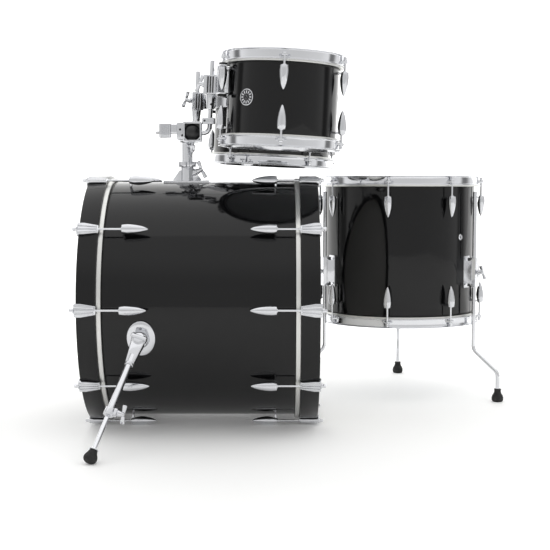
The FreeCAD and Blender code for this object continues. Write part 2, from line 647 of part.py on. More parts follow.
small_ball = Vector(holder_x + num("kit.small_ball_x"), num("kit.small_ball_y"), ball_z)
medium_ball = Vector(holder_x + num("kit.medium_ball_x"), num("kit.medium_ball_y"), ball_z)
# the small tom's arm leaves along X, the medium tom's along Y, each between two jaws
small_jaws = Placement(small_ball, Rotation())
medium_jaws = Placement(medium_ball, Rotation(Vector(0, 0, 1), 90))
jaw_step = num("kit.jaw_gap + kit.jaw_plate") / 2
block_middle = holder_x - num("kit.head_block_length / 2") - 10
pieces = [primitive("Cylinder", at(holder_x, 0, head_low), Radius="kit.head_diameter / 2",
                    Height="kit.head_height"),
          centred_box(at(block_middle, 0, ball_z), "kit.head_block_length", "kit.head_block_width",
                      "kit.head_block_height"),
          primitive("Cylinder", at(block_middle - 34, 0, ball_z, (0, 1, 0), 90), Radius="6",
                    Height="14")]
holes = [primitive("Cylinder", at(holder_x, 0, head_low - 60), Radius="kit.post_diameter / 2",
                   Height="kit.head_height - kit.head_roof + 60")]
bridge_step = num("kit.jaw_size / 2") + 1
for jaws in (small_jaws, medium_jaws):
    for turn in (-1, 1):
        pieces.append(centred_box(jaws.multiply(at(0, turn * jaw_step, 0)), "kit.jaw_size",
                                  "kit.jaw_plate", "kit.jaw_size"))
        pieces.append(centred_box(jaws.multiply(at(0, 0, turn * bridge_step)), "18",
                                  "kit.jaw_gap + 2 * kit.jaw_plate", "6"))
    holes.append(primitive("Sphere", jaws, Radius="kit.ball_diameter / 2 + kit.turning_fit"))
# webs from the head to the jaws
pieces.append(centred_box(at(holder_x + 4, -19, ball_z), "30", "14", "kit.head_block_height"))
pieces.append(centred_box(at(holder_x + 4, 22, ball_z), "40", "10", "kit.head_block_height"))
bolt_drop = Vector(0, 0, num("kit.jaw_size / 2") + 6)
bolt_length = bolt_drop.z - num("kit.ball_diameter / 2")
ball_bolts = {tom: pointing(ball - bolt_drop, Vector(0, 0, -1))
              for tom, ball in (("small", small_ball), ("medium", medium_ball))}
holes += [bolt_hole(place, bolt_length + 5) for place in ball_bolts.values()]
keep(less(fused(*pieces), *holes), "holder_head")
for tom, place in ball_bolts.items():
    keep(wing_bolt(place, bolt_length - 0.5), tom + "_ball_wing")


# ---------------------------------------------------------------- toms on the holder


def tom_family(tom, frame, start, lug_top):
    """Shell, heads, hoops, lugs and rods of a tom about its own middle."""
    count = int(num(f"kit.{tom}_lugs"))
    radius, half = f"kit.{tom}_radius", f"kit.{tom}_length / 2"
    rim = f"{half} + kit.tom_hoop_rise"
    low = f"{rim} - kit.tom_hoop_height"
    inside = f"{radius} + kit.tom_hoop_gap"
    outside = f"{inside} + kit.tom_hoop_metal"
    flesh = f"{half} - kit.flesh_sink"
    both = [frame, frame.multiply(UPSIDE_DOWN)]
    shell = drum_shell(tom, "tom_wall")
    shell.Placement = frame
    keep(shell, tom + "_shell")
    head = drum_head(tom, f"{radius} + kit.flesh_gap", f"{inside} - 0.2",
                     f"{half} - kit.flesh_foot", flesh)
    grouped(tom + "_heads", head, both)
    band = turned([(inside, low), (f"{outside} + kit.tom_flange", low),
                   (f"{outside} + kit.tom_flange", f"{low} + kit.tom_hoop_metal"),
                   (outside, f"{low} + kit.tom_hoop_metal"), (outside, f"{rim} - 2.6"),
                   (f"{outside} + kit.tom_flange", f"{rim} - 1.2"),
                   (f"{outside} + kit.tom_flange", rim), (inside, rim),
                   (inside, f"{flesh} + kit.tom_hoop_metal"),
                   (f"{radius} + 4", f"{flesh} + kit.tom_hoop_metal"), (f"{radius} + 4", flesh),
                   (inside, flesh)])
    reach = num(f"{radius} + kit.tom_rod_offset")
    ear_level = num(f"{low} + kit.tom_ear_level")
    ear = centred_box(at(reach - 1, 0, ear_level), "kit.tom_ear_depth", "kit.tom_ear_width",
                      "kit.tom_ear_metal")
    bore = primitive("Cylinder", at(reach, 0, ear_level - 20),
                     Radius="kit.rod_diameter / 2 + kit.bolt_fit", Height="60")
    doc.recompute()
    # the rods pass through the ears and the hoop's lower flange
    turns = [at(angle=start + 360.0 * index / count) for index in range(count)]
    ears = [moved(ear.Shape, turn) for turn in turns]
    bores = [moved(bore.Shape, turn) for turn in turns]
    ring = band.Shape.multiFuse(ears).cut(bores)
    gathered(tom + "_hoops", [moved(ring, both[0]), moved(ring, both[1].multiply(at(angle=-2 * start)))])
    places = around(frame, count, start)
    grouped(tom + "_lugs", lug(tom, "tom", lug_top), places)
    seat = f"{low} + kit.tom_ear_level + kit.tom_ear_metal / 2"
    grouped(tom + "_rods", tension_rod(tom, "tom", f"{lug_top} - kit.rod_grip", seat), places)


def sector(frame, inner, outer, low, high, spread):
    """Part of a ring, spread to both sides of the frame's X axis."""
    ring = Part.makeCylinder(outer, high - low, Vector(0, 0, low), Vector(0, 0, 1), 2 * spread)
    piece = doc.addObject("Part::Feature", "Sector")
    piece.Shape = ring.cut(Part.makeCylinder(inner, high - low, Vector(0, 0, low)))
    piece.Placement = frame.multiply(at(angle=-spread))
    return piece


def tom_arm(tom, ball, arm, run):
    """The L-shaped rod and the nylon ball that it passes into."""
    rod = bent_rod([run * 0.02, run, run + Vector(0, 0, num("kit.arm_rise"))], num("kit.arm_bend"),
                   num("kit.arm_diameter / 2"))
    rod.Placement = arm
    gathered(tom + "_arm", [rod])
    # the sphere's seam is turned away from the hole
    sphere = primitive("Sphere", Placement(ball, Rotation(Vector(0, 0, 1), 50)),
                       Radius="kit.ball_diameter / 2")
    bore = primitive("Cylinder", arm.multiply(Placement(run * 0.018, Rotation(Vector(0, 0, 1), run))),
                     Radius="kit.arm_diameter / 2 + kit.turning_fit", Height="kit.ball_diameter * 1.4")
    keep(less(sphere, bore), tom + "_ball")


def tom_mount(tom, frame, reach, step, low, high):
    """The bracket between two tension rods, its clamp block on the arm, and its wing bolt."""
    metal = num("kit.mount_plate")
    radius = num(f"kit.{tom}_radius")
    band_in = num(f"kit.{tom}_radius + kit.band_gap")
    tab_in = radius + 6
    spread = step / 2 + math.degrees(13 / band_in)
    inset = math.degrees(14 / band_in)
    plates = [sector(frame, band_in, band_in + metal, low, high + metal, step / 2 - inset),
              sector(frame, tab_in, band_in + metal, high, high + metal, spread),
              sector(frame, tab_in, band_in + metal, low, low + metal, spread)]
    block = centred_box(frame.multiply(at(reach, 0, num("kit.mount_middle"))), "kit.mount_depth",
                        "kit.mount_width", "kit.mount_height")
    web_low = num("kit.mount_middle - kit.mount_height / 2") + 4
    web = primitive("Box", frame.multiply(at(band_in, -num("kit.mount_web / 2"), web_low)),
                    Width="kit.mount_web", Height="kit.mount_height - 8")
    web.Length = reach - 10 - band_in
    rod_line = num(f"kit.{tom}_radius + kit.tom_rod_offset")
    tools = [primitive("Cylinder", frame.multiply(at(reach, 0, -LONG / 2)),
                       Radius="kit.arm_diameter / 2 + kit.turning_fit", Height=str(LONG))]
    for turn in (-step / 2, step / 2):
        line = frame.multiply(at(angle=turn)).multiply(at(rod_line, 0, -LONG / 2))
        tools.append(primitive("Cylinder", line, Radius="kit.rod_diameter / 2 + kit.bolt_fit",
                               Height=str(LONG)))
    bolt_reach = num("kit.mount_bolt_reach")
    bolt_line = frame.multiply(pointing(Vector(reach + bolt_reach, 0, num("kit.mount_middle")),
                                        Vector(1, 0, 0.25)))
    tools.append(bolt_hole(bolt_line, bolt_reach - 3))
    keep(less(fused(*plates, web, block), *tools), tom + "_bracket")
    keep(wing_bolt(bolt_line, bolt_reach - num("kit.arm_diameter / 2") - 2), tom + "_wing")


def tom_isolators(tom, frame, step, low, high):
    """Rubber pads between the bracket's tabs and the lugs."""
    rod_line = num(f"kit.{tom}_radius + kit.tom_rod_offset")
    above, below = high + num("kit.mount_plate"), low - num("kit.isolator_height")
    shell = primitive("Cylinder", at(0, 0, -LONG / 2), Radius=f"kit.{tom}_radius", Height=str(LONG))
    rod_hole = primitive("Cylinder", at(rod_line, 0, -LONG / 2),
                         Radius="kit.rod_diameter / 2 + kit.bolt_fit", Height=str(LONG))
    upper = less(primitive("Cylinder", at(rod_line, 0, above), Radius="kit.isolator_diameter / 2 - 3",
                           Height="kit.isolator_height"), shell, rod_hole)
    lower = less(primitive("Cylinder", at(rod_line, 0, below), Radius="kit.isolator_diameter / 2 - 2",
                           Height="kit.isolator_height"), shell)
    doc.recompute()
    sides = [frame.multiply(at(angle=turn)) for turn in (-step / 2, step / 2)]
    gathered(tom + "_isolators", [moved(pad.Shape, side) for side in sides for pad in (upper, lower)])


def memory_lock(tom, frame, reach):
    """The lock that stands on the arm just under the mount block."""
    top = num("kit.mount_middle - kit.mount_height / 2 - kit.face_gap")
    bottom = frame.multiply(at(reach, 0, top - num("kit.lock_height")))
    cone = primitive("Cone", bottom, Radius1="kit.lock_diameter / 2 - 3", Radius2="kit.lock_diameter / 2",
                     Height="kit.lock_height")
    screw_block = centred_box(bottom.multiply(at(0, -11, 8)), "12", "12", "9")
    bore = primitive("Cylinder", bottom.multiply(at(z=-66)), Radius="kit.arm_diameter / 2 + kit.turning_fit",
                     Height="200")
    keep(less(fused(cone, screw_block), bore), tom + "_lock")


arm_frames = {}
tom_frames = {}
for tom, ball, run_angle in (("small", small_ball, 0.0), ("medium", medium_ball, 90.0)):
    arm = Placement(ball, Rotation(Vector(0, 1, 0), num("kit.tom_tilt")))
    arm_frames[tom] = arm
    run = Rotation(Vector(0, 0, 1), run_angle).multVec(Vector(num(f"kit.{tom}_arm_run"), 0, 0))
    tom_arm(tom, ball, arm, run)

    mount_angle = num(f"kit.{tom}_mount_angle")
    reach = num(f"kit.{tom}_radius + kit.{tom}_reach")
    middle = run - at(angle=mount_angle).multVec(Vector(reach, 0, 0))
    frame = arm.multiply(at(middle.x, middle.y, num(f"kit.{tom}_tom_rise"), angle=mount_angle))
    tom_frames[tom] = frame
    step = 360.0 / num(f"kit.{tom}_lugs")
    lug_top = f"kit.{tom}_length / 2 - kit.tom_lug_inset"
    tom_family(tom, frame, step / 2, lug_top)

    # the mount hangs on the tension rods beside it, above and below the upper lugs
    above_lug = num(lug_top) + 1
    below_lug = num(f"{lug_top} - kit.tom_lug_length - kit.isolator_height - kit.mount_plate")
    tom_mount(tom, frame, reach, step, below_lug, above_lug)
    tom_isolators(tom, frame, step, below_lug, above_lug)
    memory_lock(tom, frame, reach)

# the badge lies on the small tom's shell around the air vent
badge_frame = tom_frames["small"].multiply(at(angle=num("kit.badge_turn - kit.small_mount_angle")))
badge = shared(primitive("Cylinder", badge_frame.multiply(at(0, 0, 0, (0, 1, 0), 90)),
                         Radius="kit.badge_diameter / 2", Height="kit.small_radius * 2"),
               upright_ring(badge_frame, "kit.small_radius", "kit.small_radius + kit.badge_metal", 120))
eyelet = primitive("Cylinder", badge_frame.multiply(at(num("kit.small_radius") + 0.8, 0, 0,
                                                       (0, 1, 0), 90)),
                   Radius="kit.vent_diameter / 2 + 2.8", Height="2")
vent = primitive("Cylinder", badge_frame.multiply(at(num("kit.small_radius") - 20, 0, 0,
                                                     (0, 1, 0), 90)),
                 Radius="kit.vent_diameter / 2", Height="40")
keep(less(fused(badge, eyelet), vent), "small_badge")

# ---------------------------------------------------------------- floor tom

floor_frame = at(num(f"{hoop_end} + kit.floor_gap + kit.floor_radius"), num("kit.floor_y"),
                 num("kit.floor_height"), angle=num("kit.floor_turn"))
tom_family("floor", floor_frame, num("kit.floor_lug_turn"), "kit.floor_length / 2 - kit.floor_lug_inset")

leg_line = num("kit.floor_radius + kit.leg_offset")
foot_line = leg_line + num("kit.leg_splay")
to_floor = -num("kit.floor_height")
bracket_middle = to_floor + num("kit.leg_bracket_middle")
leg_radius = num("kit.leg_diameter / 2")
sole = num("kit.leg_foot_sole")
leg_rod = bent_rod([Vector(leg_line, 0, to_floor + num("kit.leg_top")),
                    Vector(leg_line, 0, to_floor + num("kit.leg_knee")),
                    Vector(foot_line, 0, to_floor + num("kit.leg_ankle")),
                    Vector(foot_line, 0, to_floor + sole)], num("kit.leg_bend"), leg_radius)
foot_shape = less(turned([("0", "0"), ("kit.leg_foot / 2 - 3", "0"), ("kit.leg_foot / 2", "5"),
                          ("kit.leg_foot / 2", "14"), ("kit.leg_foot / 2 - 3", "20"),
                          ("kit.leg_foot * 0.3", "24"), ("kit.leg_foot * 0.3 - 1", "kit.leg_foot_height"),
                          ("0", "kit.leg_foot_height")]),
                  primitive("Cylinder", at(z=sole), Radius="kit.leg_diameter / 2",
                            Height="kit.leg_foot_height * 2"))

bracket_place = at(z=bracket_middle)
clamp_block = centred_box(at(leg_line - 2, 0, bracket_middle), "kit.leg_block_depth",
                          "kit.leg_block_width", "kit.leg_bracket_height")
neck = centred_box(at(leg_line - 14, 0, bracket_middle), "kit.leg_neck_depth", "kit.leg_block_width + 4",
                   "kit.leg_bracket_height - 16")
pad = shared(centred_box(at(num("kit.floor_radius"), 0, bracket_middle), "30", "kit.leg_pad_width",
                         "kit.leg_bracket_height + 8"),
             upright_ring(bracket_place, "kit.floor_radius", "kit.floor_radius + kit.leg_pad_metal", 120))
bolt_reach = num("kit.leg_block_depth / 2") + 1
leg_bolt = pointing(Vector(leg_line + bolt_reach, 0, bracket_middle), Vector(1, 0, 0))
bracket = less(fused(clamp_block, neck, pad),
               primitive("Cylinder", at(z=bracket_middle - 60), Radius="kit.floor_radius", Height="120"),
               primitive("Cylinder", at(leg_line, 0, bracket_middle - 60),
                         Radius="kit.leg_diameter / 2 + kit.turning_fit", Height="120"),
               bolt_hole(leg_bolt, bolt_reach))
leg_turns = [floor_frame.multiply(at(angle=120.0 * index)) for index in range(3)]
grouped("leg_brackets", bracket, leg_turns)
bolt = wing_bolt(leg_bolt, bolt_reach - leg_radius - 0.5)
for index, turn in enumerate(leg_turns, start=1):
    gathered(f"floor_leg_{index}", [moved(leg_rod, turn)])
    grouped(f"floor_foot_{index}", foot_shape, [turn.multiply(at(foot_line, 0, to_floor))])
    grouped(f"floor_wing_{index}", bolt, [turn])

# ---------------------------------------------------------------- origin, checks and files

doc.recompute()
faults = [o.Name for o in doc.Objects if "Invalid" in o.State or "Error" in o.State]
assert not faults, f"objects that failed: {faults}"

box = FreeCAD.BoundBox()
for piece in parts:
    box.add(piece.Shape.optimalBoundingBox(False, False))
shift = Placement(Vector(-box.Center.x, -box.Center.y, -box.ZMin), Rotation())
for piece in parts:
    piece.Placement = shift.multiply(piece.Placement)
doc.recompute()
for piece in parts:
    shape = piece.Shape
    assert not shape.isNull() and shape.isValid() and shape.Solids, f"{piece.Label} is not sound"

os.makedirs("parts", exist_ok=True)
for piece in parts:
    piece.Shape.exportStep(f"parts/{piece.Label}.step")
print(f"{len(parts)} sub-parts, {box.XLength:.0f} x {box.YLength:.0f} x {box.ZLength:.0f} mm")
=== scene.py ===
import bpy
import json
import math
from mathutils import Matrix, Vector


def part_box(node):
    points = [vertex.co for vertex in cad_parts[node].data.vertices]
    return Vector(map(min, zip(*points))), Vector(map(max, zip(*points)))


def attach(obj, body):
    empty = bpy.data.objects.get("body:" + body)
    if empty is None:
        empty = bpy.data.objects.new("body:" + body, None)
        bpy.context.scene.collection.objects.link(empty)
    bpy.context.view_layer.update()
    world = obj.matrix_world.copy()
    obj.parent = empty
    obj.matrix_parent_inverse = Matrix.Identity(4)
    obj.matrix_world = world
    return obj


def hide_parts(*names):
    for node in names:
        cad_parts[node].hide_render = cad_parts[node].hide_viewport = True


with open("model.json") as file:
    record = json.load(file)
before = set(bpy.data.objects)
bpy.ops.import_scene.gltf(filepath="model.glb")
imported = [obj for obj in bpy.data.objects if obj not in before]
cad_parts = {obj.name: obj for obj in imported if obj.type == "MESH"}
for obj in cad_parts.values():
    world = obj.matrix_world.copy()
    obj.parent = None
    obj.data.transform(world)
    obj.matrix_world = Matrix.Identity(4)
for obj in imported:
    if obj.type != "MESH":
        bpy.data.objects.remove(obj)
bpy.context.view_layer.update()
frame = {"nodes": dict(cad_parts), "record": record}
print("frame loaded")

mm = 0.001
behaviour = frame["record"]["behaviour"]
joints = {joint["name"]: joint for joint in behaviour["joints"]}
bodyOf = {node: body for body, nodes in behaviour["bodies"].items() for node in nodes}


def deselectAll():
    if bpy.context.object and bpy.context.object.mode != "OBJECT":
        bpy.ops.object.mode_set(mode="OBJECT")
    bpy.ops.object.select_all(action="DESELECT")


def activate(piece):
    deselectAll()
    piece.select_set(True)
    bpy.context.view_layer.objects.active = piece


def pick(piece, test, kind="FACE"):  # selects by place and normal, and leaves edit mode on
    activate(piece)
    bpy.ops.object.mode_set(mode="EDIT")
    bpy.ops.mesh.select_mode(type=kind)
    bpy.ops.mesh.select_all(action="DESELECT")
    bpy.ops.object.mode_set(mode="OBJECT")
    if kind == "FACE":
        for face in piece.data.polygons:
            face.select = test(face.center, face.normal)
    else:
        for vertex in piece.data.vertices:
            vertex.select = test(vertex.co, vertex.normal)
    bpy.ops.object.mode_set(mode="EDIT")


def place(piece, matrix):
    activate(piece)
    piece.matrix_world = matrix
    bpy.ops.object.transform_apply(location=True, rotation=True, scale=True)


def outward(piece):
    activate(piece)
    bpy.ops.object.mode_set(mode="EDIT")
    bpy.ops.mesh.select_all(action="SELECT")
    bpy.ops.mesh.normals_make_consistent(inside=False)
    deselectAll()
    return piece


def profile(*pairs):  # (radius, height) pairs given in millimetres
    return [(radius * mm, height * mm) for radius, height in pairs]


def lathe(name, outline, steps=96, ring=False):
    # a circle extruded and resized along (radius, height) pairs; a ring's ends are bridged, a solid's filled
    deselectAll()
    radius, height = outline[0]
    bpy.ops.mesh.primitive_circle_add(vertices=steps, radius=radius, location=(0, 0, height))
    piece = bpy.context.object
    piece.name = name
    bpy.ops.object.transform_apply(location=True)
    bpy.ops.object.mode_set(mode="EDIT")
    bpy.ops.mesh.select_mode(type="VERT")
    bpy.ops.mesh.select_all(action="SELECT")
    for nextRadius, nextHeight in outline[1:]:
        bpy.ops.mesh.extrude_region_move(TRANSFORM_OT_translate={"value": (0, 0, nextHeight - height)})
        ratio = nextRadius / radius
        bpy.ops.transform.resize(value=(ratio, ratio, 1), center_override=(0, 0, nextHeight))
        radius, height = nextRadius, nextHeight
    bpy.ops.mesh.select_mode(type="EDGE")
    bpy.ops.mesh.select_all(action="DESELECT")
    bpy.ops.mesh.select_non_manifold()
    if ring:
        bpy.ops.mesh.bridge_edge_loops()
    else:
        bpy.ops.mesh.fill_holes(sides=0)
    return outward(piece)


def tube(name, radius, path, sides=24):
    # a circle carried along ("run", length) and ("bend", degrees, radius) steps in the XZ plane, off along Z
    deselectAll()
    bpy.ops.mesh.primitive_circle_add(vertices=sides, radius=radius, location=(0, 0, 0))
    piece = bpy.context.object
    piece.name = name
    bpy.ops.object.mode_set(mode="EDIT")
    bpy.ops.mesh.select_mode(type="VERT")
    bpy.ops.mesh.select_all(action="SELECT")
    spot, heading, bendSteps = Vector((0, 0, 0)), 0.0, 12
    for kind, amount, *bend in path:
        if kind == "run":
            step = Vector((math.sin(heading), 0, math.cos(heading))) * amount
            bpy.ops.mesh.extrude_region_move(TRANSFORM_OT_translate={"value": step})
            spot += step
            continue
        side = math.copysign(bend[0], amount)
        centre = spot + Vector((math.cos(heading), 0, -math.sin(heading))) * side
        for _ in range(bendSteps):
            bpy.ops.mesh.extrude_region_move(TRANSFORM_OT_translate={"value": (0, 0, 0)})
            bpy.ops.transform.rotate(value=-math.radians(amount) / bendSteps, orient_axis="Y",
                                     center_override=centre)
        spot = centre + Matrix.Rotation(math.radians(amount), 3, "Y") @ (spot - centre)
        heading += math.radians(amount)
    bpy.ops.mesh.select_mode(type="EDGE")
    bpy.ops.mesh.select_all(action="DESELECT")
    bpy.ops.mesh.select_non_manifold()
    bpy.ops.mesh.fill_holes(sides=0)
    outward(piece)
    return smoothed(rounded(piece, radius * 0.16, 3, 60), 50)


def cutBy(piece, other, operation):  # the other's shape is taken out of the piece, or all that is left of it
    activate(piece)
    cut = piece.modifiers.new("cut", "BOOLEAN")
    cut.operation = operation
    cut.solver = "EXACT"
    cut.object = other
    bpy.ops.object.modifier_apply(modifier="cut")
    bpy.data.objects.remove(other)
    return piece


def sliced(piece, point, normal):  # what lies beyond the plane is taken off, and the cut is closed
    activate(piece)
    bpy.ops.object.mode_set(mode="EDIT")
    bpy.ops.mesh.select_all(action="SELECT")
    bpy.ops.mesh.bisect(plane_co=point, plane_no=normal, use_fill=True, clear_outer=True)
    deselectAll()


def block(name, low, high):  # a cube between two corners, ready to be shaped
    deselectAll()
    middle = (Vector(low) + Vector(high)) / 2
    size = Vector(high) - Vector(low)
    bpy.ops.mesh.primitive_cube_add(size=1, location=middle, scale=size)
    piece = bpy.context.object
    piece.name = name
    bpy.ops.object.transform_apply(location=True, rotation=False, scale=True)
    return piece


def brick(name, low, high):  # a block with its corners in millimetres
    return block(name, [value * mm for value in low], [value * mm for value in high])


def rounded(piece, width, segments=2, angle=32):
    activate(piece)
    edges = piece.modifiers.new("edges", "BEVEL")
    edges.width = width
    edges.segments = segments
    edges.limit_method = "ANGLE"
    edges.angle_limit = math.radians(angle)
    bpy.ops.object.modifier_apply(modifier="edges")
    return piece


def smoothed(piece, angle=32):
    activate(piece)
    bpy.ops.object.shade_smooth_by_angle(angle=math.radians(angle))
    return piece


def joined(name, pieces):
    deselectAll()
    for piece in pieces:
        piece.select_set(True)
    bpy.context.view_layer.objects.active = pieces[0]
    if len(pieces) > 1:
        bpy.ops.object.join()
    pieces[0].name = name
    return pieces[0]


def copyOf(piece, matrix):  # a copy with a mesh of its own, placed in that mesh
    deselectAll()
    piece.select_set(True)
    bpy.context.view_layer.objects.active = piece
    bpy.ops.object.duplicate(linked=False)
    copy = bpy.context.object
    copy.data.transform(matrix)
    if matrix.determinant() < 0:
        outward(copy)
    return copy


def repeated(name, piece, places):
    made = [copyOf(piece, matrix) for matrix in places]
    bpy.data.objects.remove(piece)
    return joined(name, made)


def give(piece, node, material, alone=True):  # rides on the node's body and stands for it
    piece.data.materials.clear()
    piece.data.materials.append(material)
    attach(piece, bodyOf[node])
    if alone:
        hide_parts(node)
    return piece


def softened(node, material, width=0.5 * mm, angle=40):
    # a copy of a CAD node with its doubles merged, flats cleaned and edges rounded
    source = frame["nodes"][node]
    deselectAll()
    piece = source.copy()
    piece.data = source.data.copy()
    piece.parent = None
    bpy.context.scene.collection.objects.link(piece)
    piece.name = node + "_piece"
    activate(piece)
    bpy.ops.object.mode_set(mode="EDIT")
    bpy.ops.mesh.select_all(action="SELECT")
    bpy.ops.mesh.remove_doubles(threshold=0.00001)
    bpy.ops.mesh.dissolve_limited(angle_limit=math.radians(1))
    deselectAll()
    if width:
        rounded(piece, width, 2, angle)
    smoothed(piece, 34)
    return give(piece, node, material)


def linear(hexColour):
    values = [int(hexColour[i:i + 2], 16) / 255 for i in (1, 3, 5)]
    return [v / 12.92 if v <= 0.04045 else ((v + 0.055) / 1.055) ** 2.4 for v in values] + [1.0]


def addNode(owner, kind, settings, links):  # owner: a material or the world
    node = owner.node_tree.nodes.new(kind)
    for name, value in settings.items():
        if hasattr(node, name):
            setattr(node, name, value)
        else:
            node.inputs[name].default_value = value
    for name, source in links.items():
        owner.node_tree.links.new(source, node.inputs[name])
    return node


def newMaterial(name, colour, rough, metal, extras):
    material = bpy.data.materials.new(name)
    material.use_nodes = True
    shader = material.node_tree.nodes["Principled BSDF"]
    settings = {"Base Color": linear(colour), "Roughness": rough, "Metallic": metal}
    for socket, value in {**settings, **extras}.items():
        shader.inputs[socket].default_value = value
    return material, shader


def grain(material, shader, spec):
    # noise on object coordinates: roughness varies between two values, and a fine bump
    coords = addNode(material, "ShaderNodeTexCoord", {}, {})
    stretch = addNode(material, "ShaderNodeMapping", {"Scale": spec.get("stretch", (1, 1, 1))},
                      {"Vector": coords.outputs["Object"]})
    wide = addNode(material, "ShaderNodeTexNoise", {"Scale": 1 / spec["patch"], "Detail": 3.0},
                   {"Vector": stretch.outputs["Vector"]})
    span = addNode(material, "ShaderNodeMapRange", {"From Min": 0.3, "From Max": 0.7,
                                                    "To Min": spec["rough"][0], "To Max": spec["rough"][1]},
                   {"Value": wide.outputs["Fac"]})
    material.node_tree.links.new(span.outputs["Result"], shader.inputs["Roughness"])
    fine = addNode(material, "ShaderNodeTexNoise", {"Scale": 1 / spec["bumpSize"], "Detail": 2.0},
                   {"Vector": stretch.outputs["Vector"]})
    bump = addNode(material, "ShaderNodeBump", {"Strength": spec["bump"], "Distance": spec["bumpDepth"]},
                   {"Height": fine.outputs["Fac"]})
    material.node_tree.links.new(bump.outputs["Normal"], shader.inputs["Normal"])
    return wide


def lacquer():  # polyester lacquer, sprayed and buffed: deep black gloss with a trace of orange peel
    spec = {"patch": 0.12, "rough": (0.05, 0.10), "bumpSize": 6 * mm, "bump": 0.05, "bumpDepth": 0.2 * mm}
    material, shader = newMaterial("blackLacquer", "#0a0a0b", 0.08, 0.0, {"Specular IOR Level": 0.34})
    grain(material, shader, spec)
    return material


def chrome():  # nickel-chrome plate on steel, polished: faint polishing haze
    spec = {"patch": 0.05, "rough": (0.05, 0.11), "bumpSize": 8 * mm, "bump": 0.04, "bumpDepth": 0.2 * mm}
    material, shader = newMaterial("chromePlate", "#dcdde0", 0.07, 1.0, {})
    grain(material, shader, spec)
    return material


def castChrome():  # chrome plate on zinc castings: softer, slightly wavy faces
    spec = {"patch": 0.02, "rough": (0.10, 0.18), "bumpSize": 6 * mm, "bump": 0.12, "bumpDepth": 0.3 * mm}
    material, shader = newMaterial("chromeOnZinc", "#d4d5d8", 0.12, 1.0, {})
    grain(material, shader, spec)
    return material


def aluminium():  # extruded flesh hoop, brushed round its run
    spec = {"patch": 0.01, "rough": (0.28, 0.42), "bumpSize": 1.2 * mm, "bump": 0.15, "bumpDepth": 0.1 * mm}
    material, shader = newMaterial("brushedAluminium", "#d9d9d6", 0.35, 1.0, {})
    grain(material, shader, spec)
    return material


def coatedFilm():  # polyester film with a sprayed white coat: dry, with a fine tooth
    spec = {"patch": 0.08, "rough": (0.55, 0.7), "bumpSize": 1.2 * mm, "bump": 0.25, "bumpDepth": 0.12 * mm}
    material, shader = newMaterial("coatedPolyester", "#e9e8e3", 0.62, 0.0, {"IOR": 1.5})
    grain(material, shader, spec)
    return material


def smoothFilm(name, colour):  # plain polyester film: even sheen with slight ripples from the tension
    spec = {"patch": 0.15, "rough": (0.16, 0.24), "bumpSize": 0.05, "bump": 0.06, "bumpDepth": 1 * mm}
    material, shader = newMaterial(name, colour, 0.2, 0.0, {"IOR": 1.57})
    grain(material, shader, spec)
    return material


def maple():  # bare maple inside the shells: pale, with grain round the drum
    material, shader = newMaterial("maplePly", "#c99e66", 0.55, 0.0, {})
    wide = grain(material, shader, {"patch": 0.03, "rough": (0.5, 0.62), "stretch": (1, 1, 6),
                                    "bumpSize": 2 * mm, "bump": 0.1, "bumpDepth": 0.1 * mm})
    ramp = addNode(material, "ShaderNodeValToRGB", {}, {"Fac": wide.outputs["Fac"]})
    ramp.color_ramp.elements[0].color = linear("#a97a44")
    ramp.color_ramp.elements[1].color = linear("#dab987")
    material.node_tree.links.new(ramp.outputs["Color"], shader.inputs["Base Color"])
    return material


def rubber():  # moulded natural rubber: dull, slightly dusty black
    spec = {"patch": 0.01, "rough": (0.6, 0.82), "bumpSize": 1.5 * mm, "bump": 0.3, "bumpDepth": 0.15 * mm}
    material, shader = newMaterial("blackRubber", "#151515", 0.7, 0.0, {"IOR": 1.52})
    grain(material, shader, spec)
    return material


def nylon():  # turned nylon ball: satin black
    spec = {"patch": 0.01, "rough": (0.3, 0.4), "bumpSize": 2 * mm, "bump": 0.08, "bumpDepth": 0.1 * mm}
    material, shader = newMaterial("blackNylon", "#121214", 0.35, 0.0, {"IOR": 1.53})
    grain(material, shader, spec)
    return material


def enamel():  # dark fired enamel in the badge
    spec = {"patch": 0.01, "rough": (0.2, 0.3), "bumpSize": 3 * mm, "bump": 0.08, "bumpDepth": 0.1 * mm}
    material, shader = newMaterial("darkEnamel", "#26272b", 0.25, 0.0, {"IOR": 1.5})
    grain(material, shader, spec)
    return material


blackLacquer = lacquer()
chromePlate = chrome()
chromeOnZinc = castChrome()
brushedAluminium = aluminium()
coatedPolyester = coatedFilm()
clearPolyester = smoothFilm("hazyPolyester", "#c9cccf")
blackPolyester = smoothFilm("ebonyPolyester", "#121214")
maplePly = maple()
blackRubber = rubber()
blackNylon = nylon()
darkEnamel = enamel()
print("materials made")


def boxMiddle(node):
    low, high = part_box(node)
    return (Vector(low) + Vector(high)) / 2


def boxSize(node):
    low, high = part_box(node)
    return Vector(high) - Vector(low)


def turnZ(degrees):
    return Matrix.Rotation(math.radians(degrees), 4, "Z")


upsideDown = Matrix.Rotation(math.pi, 4, "X")


def alongAxis(position, axis):  # Z of the piece along the axis
    turn = Vector((0, 0, 1)).rotation_difference(Vector(axis))
    return Matrix.Translation(Vector(position)) @ turn.to_matrix().to_4x4()


def jointPlace(name):
    return alongAxis(joints[name]["pos_m"], joints[name]["axis"])


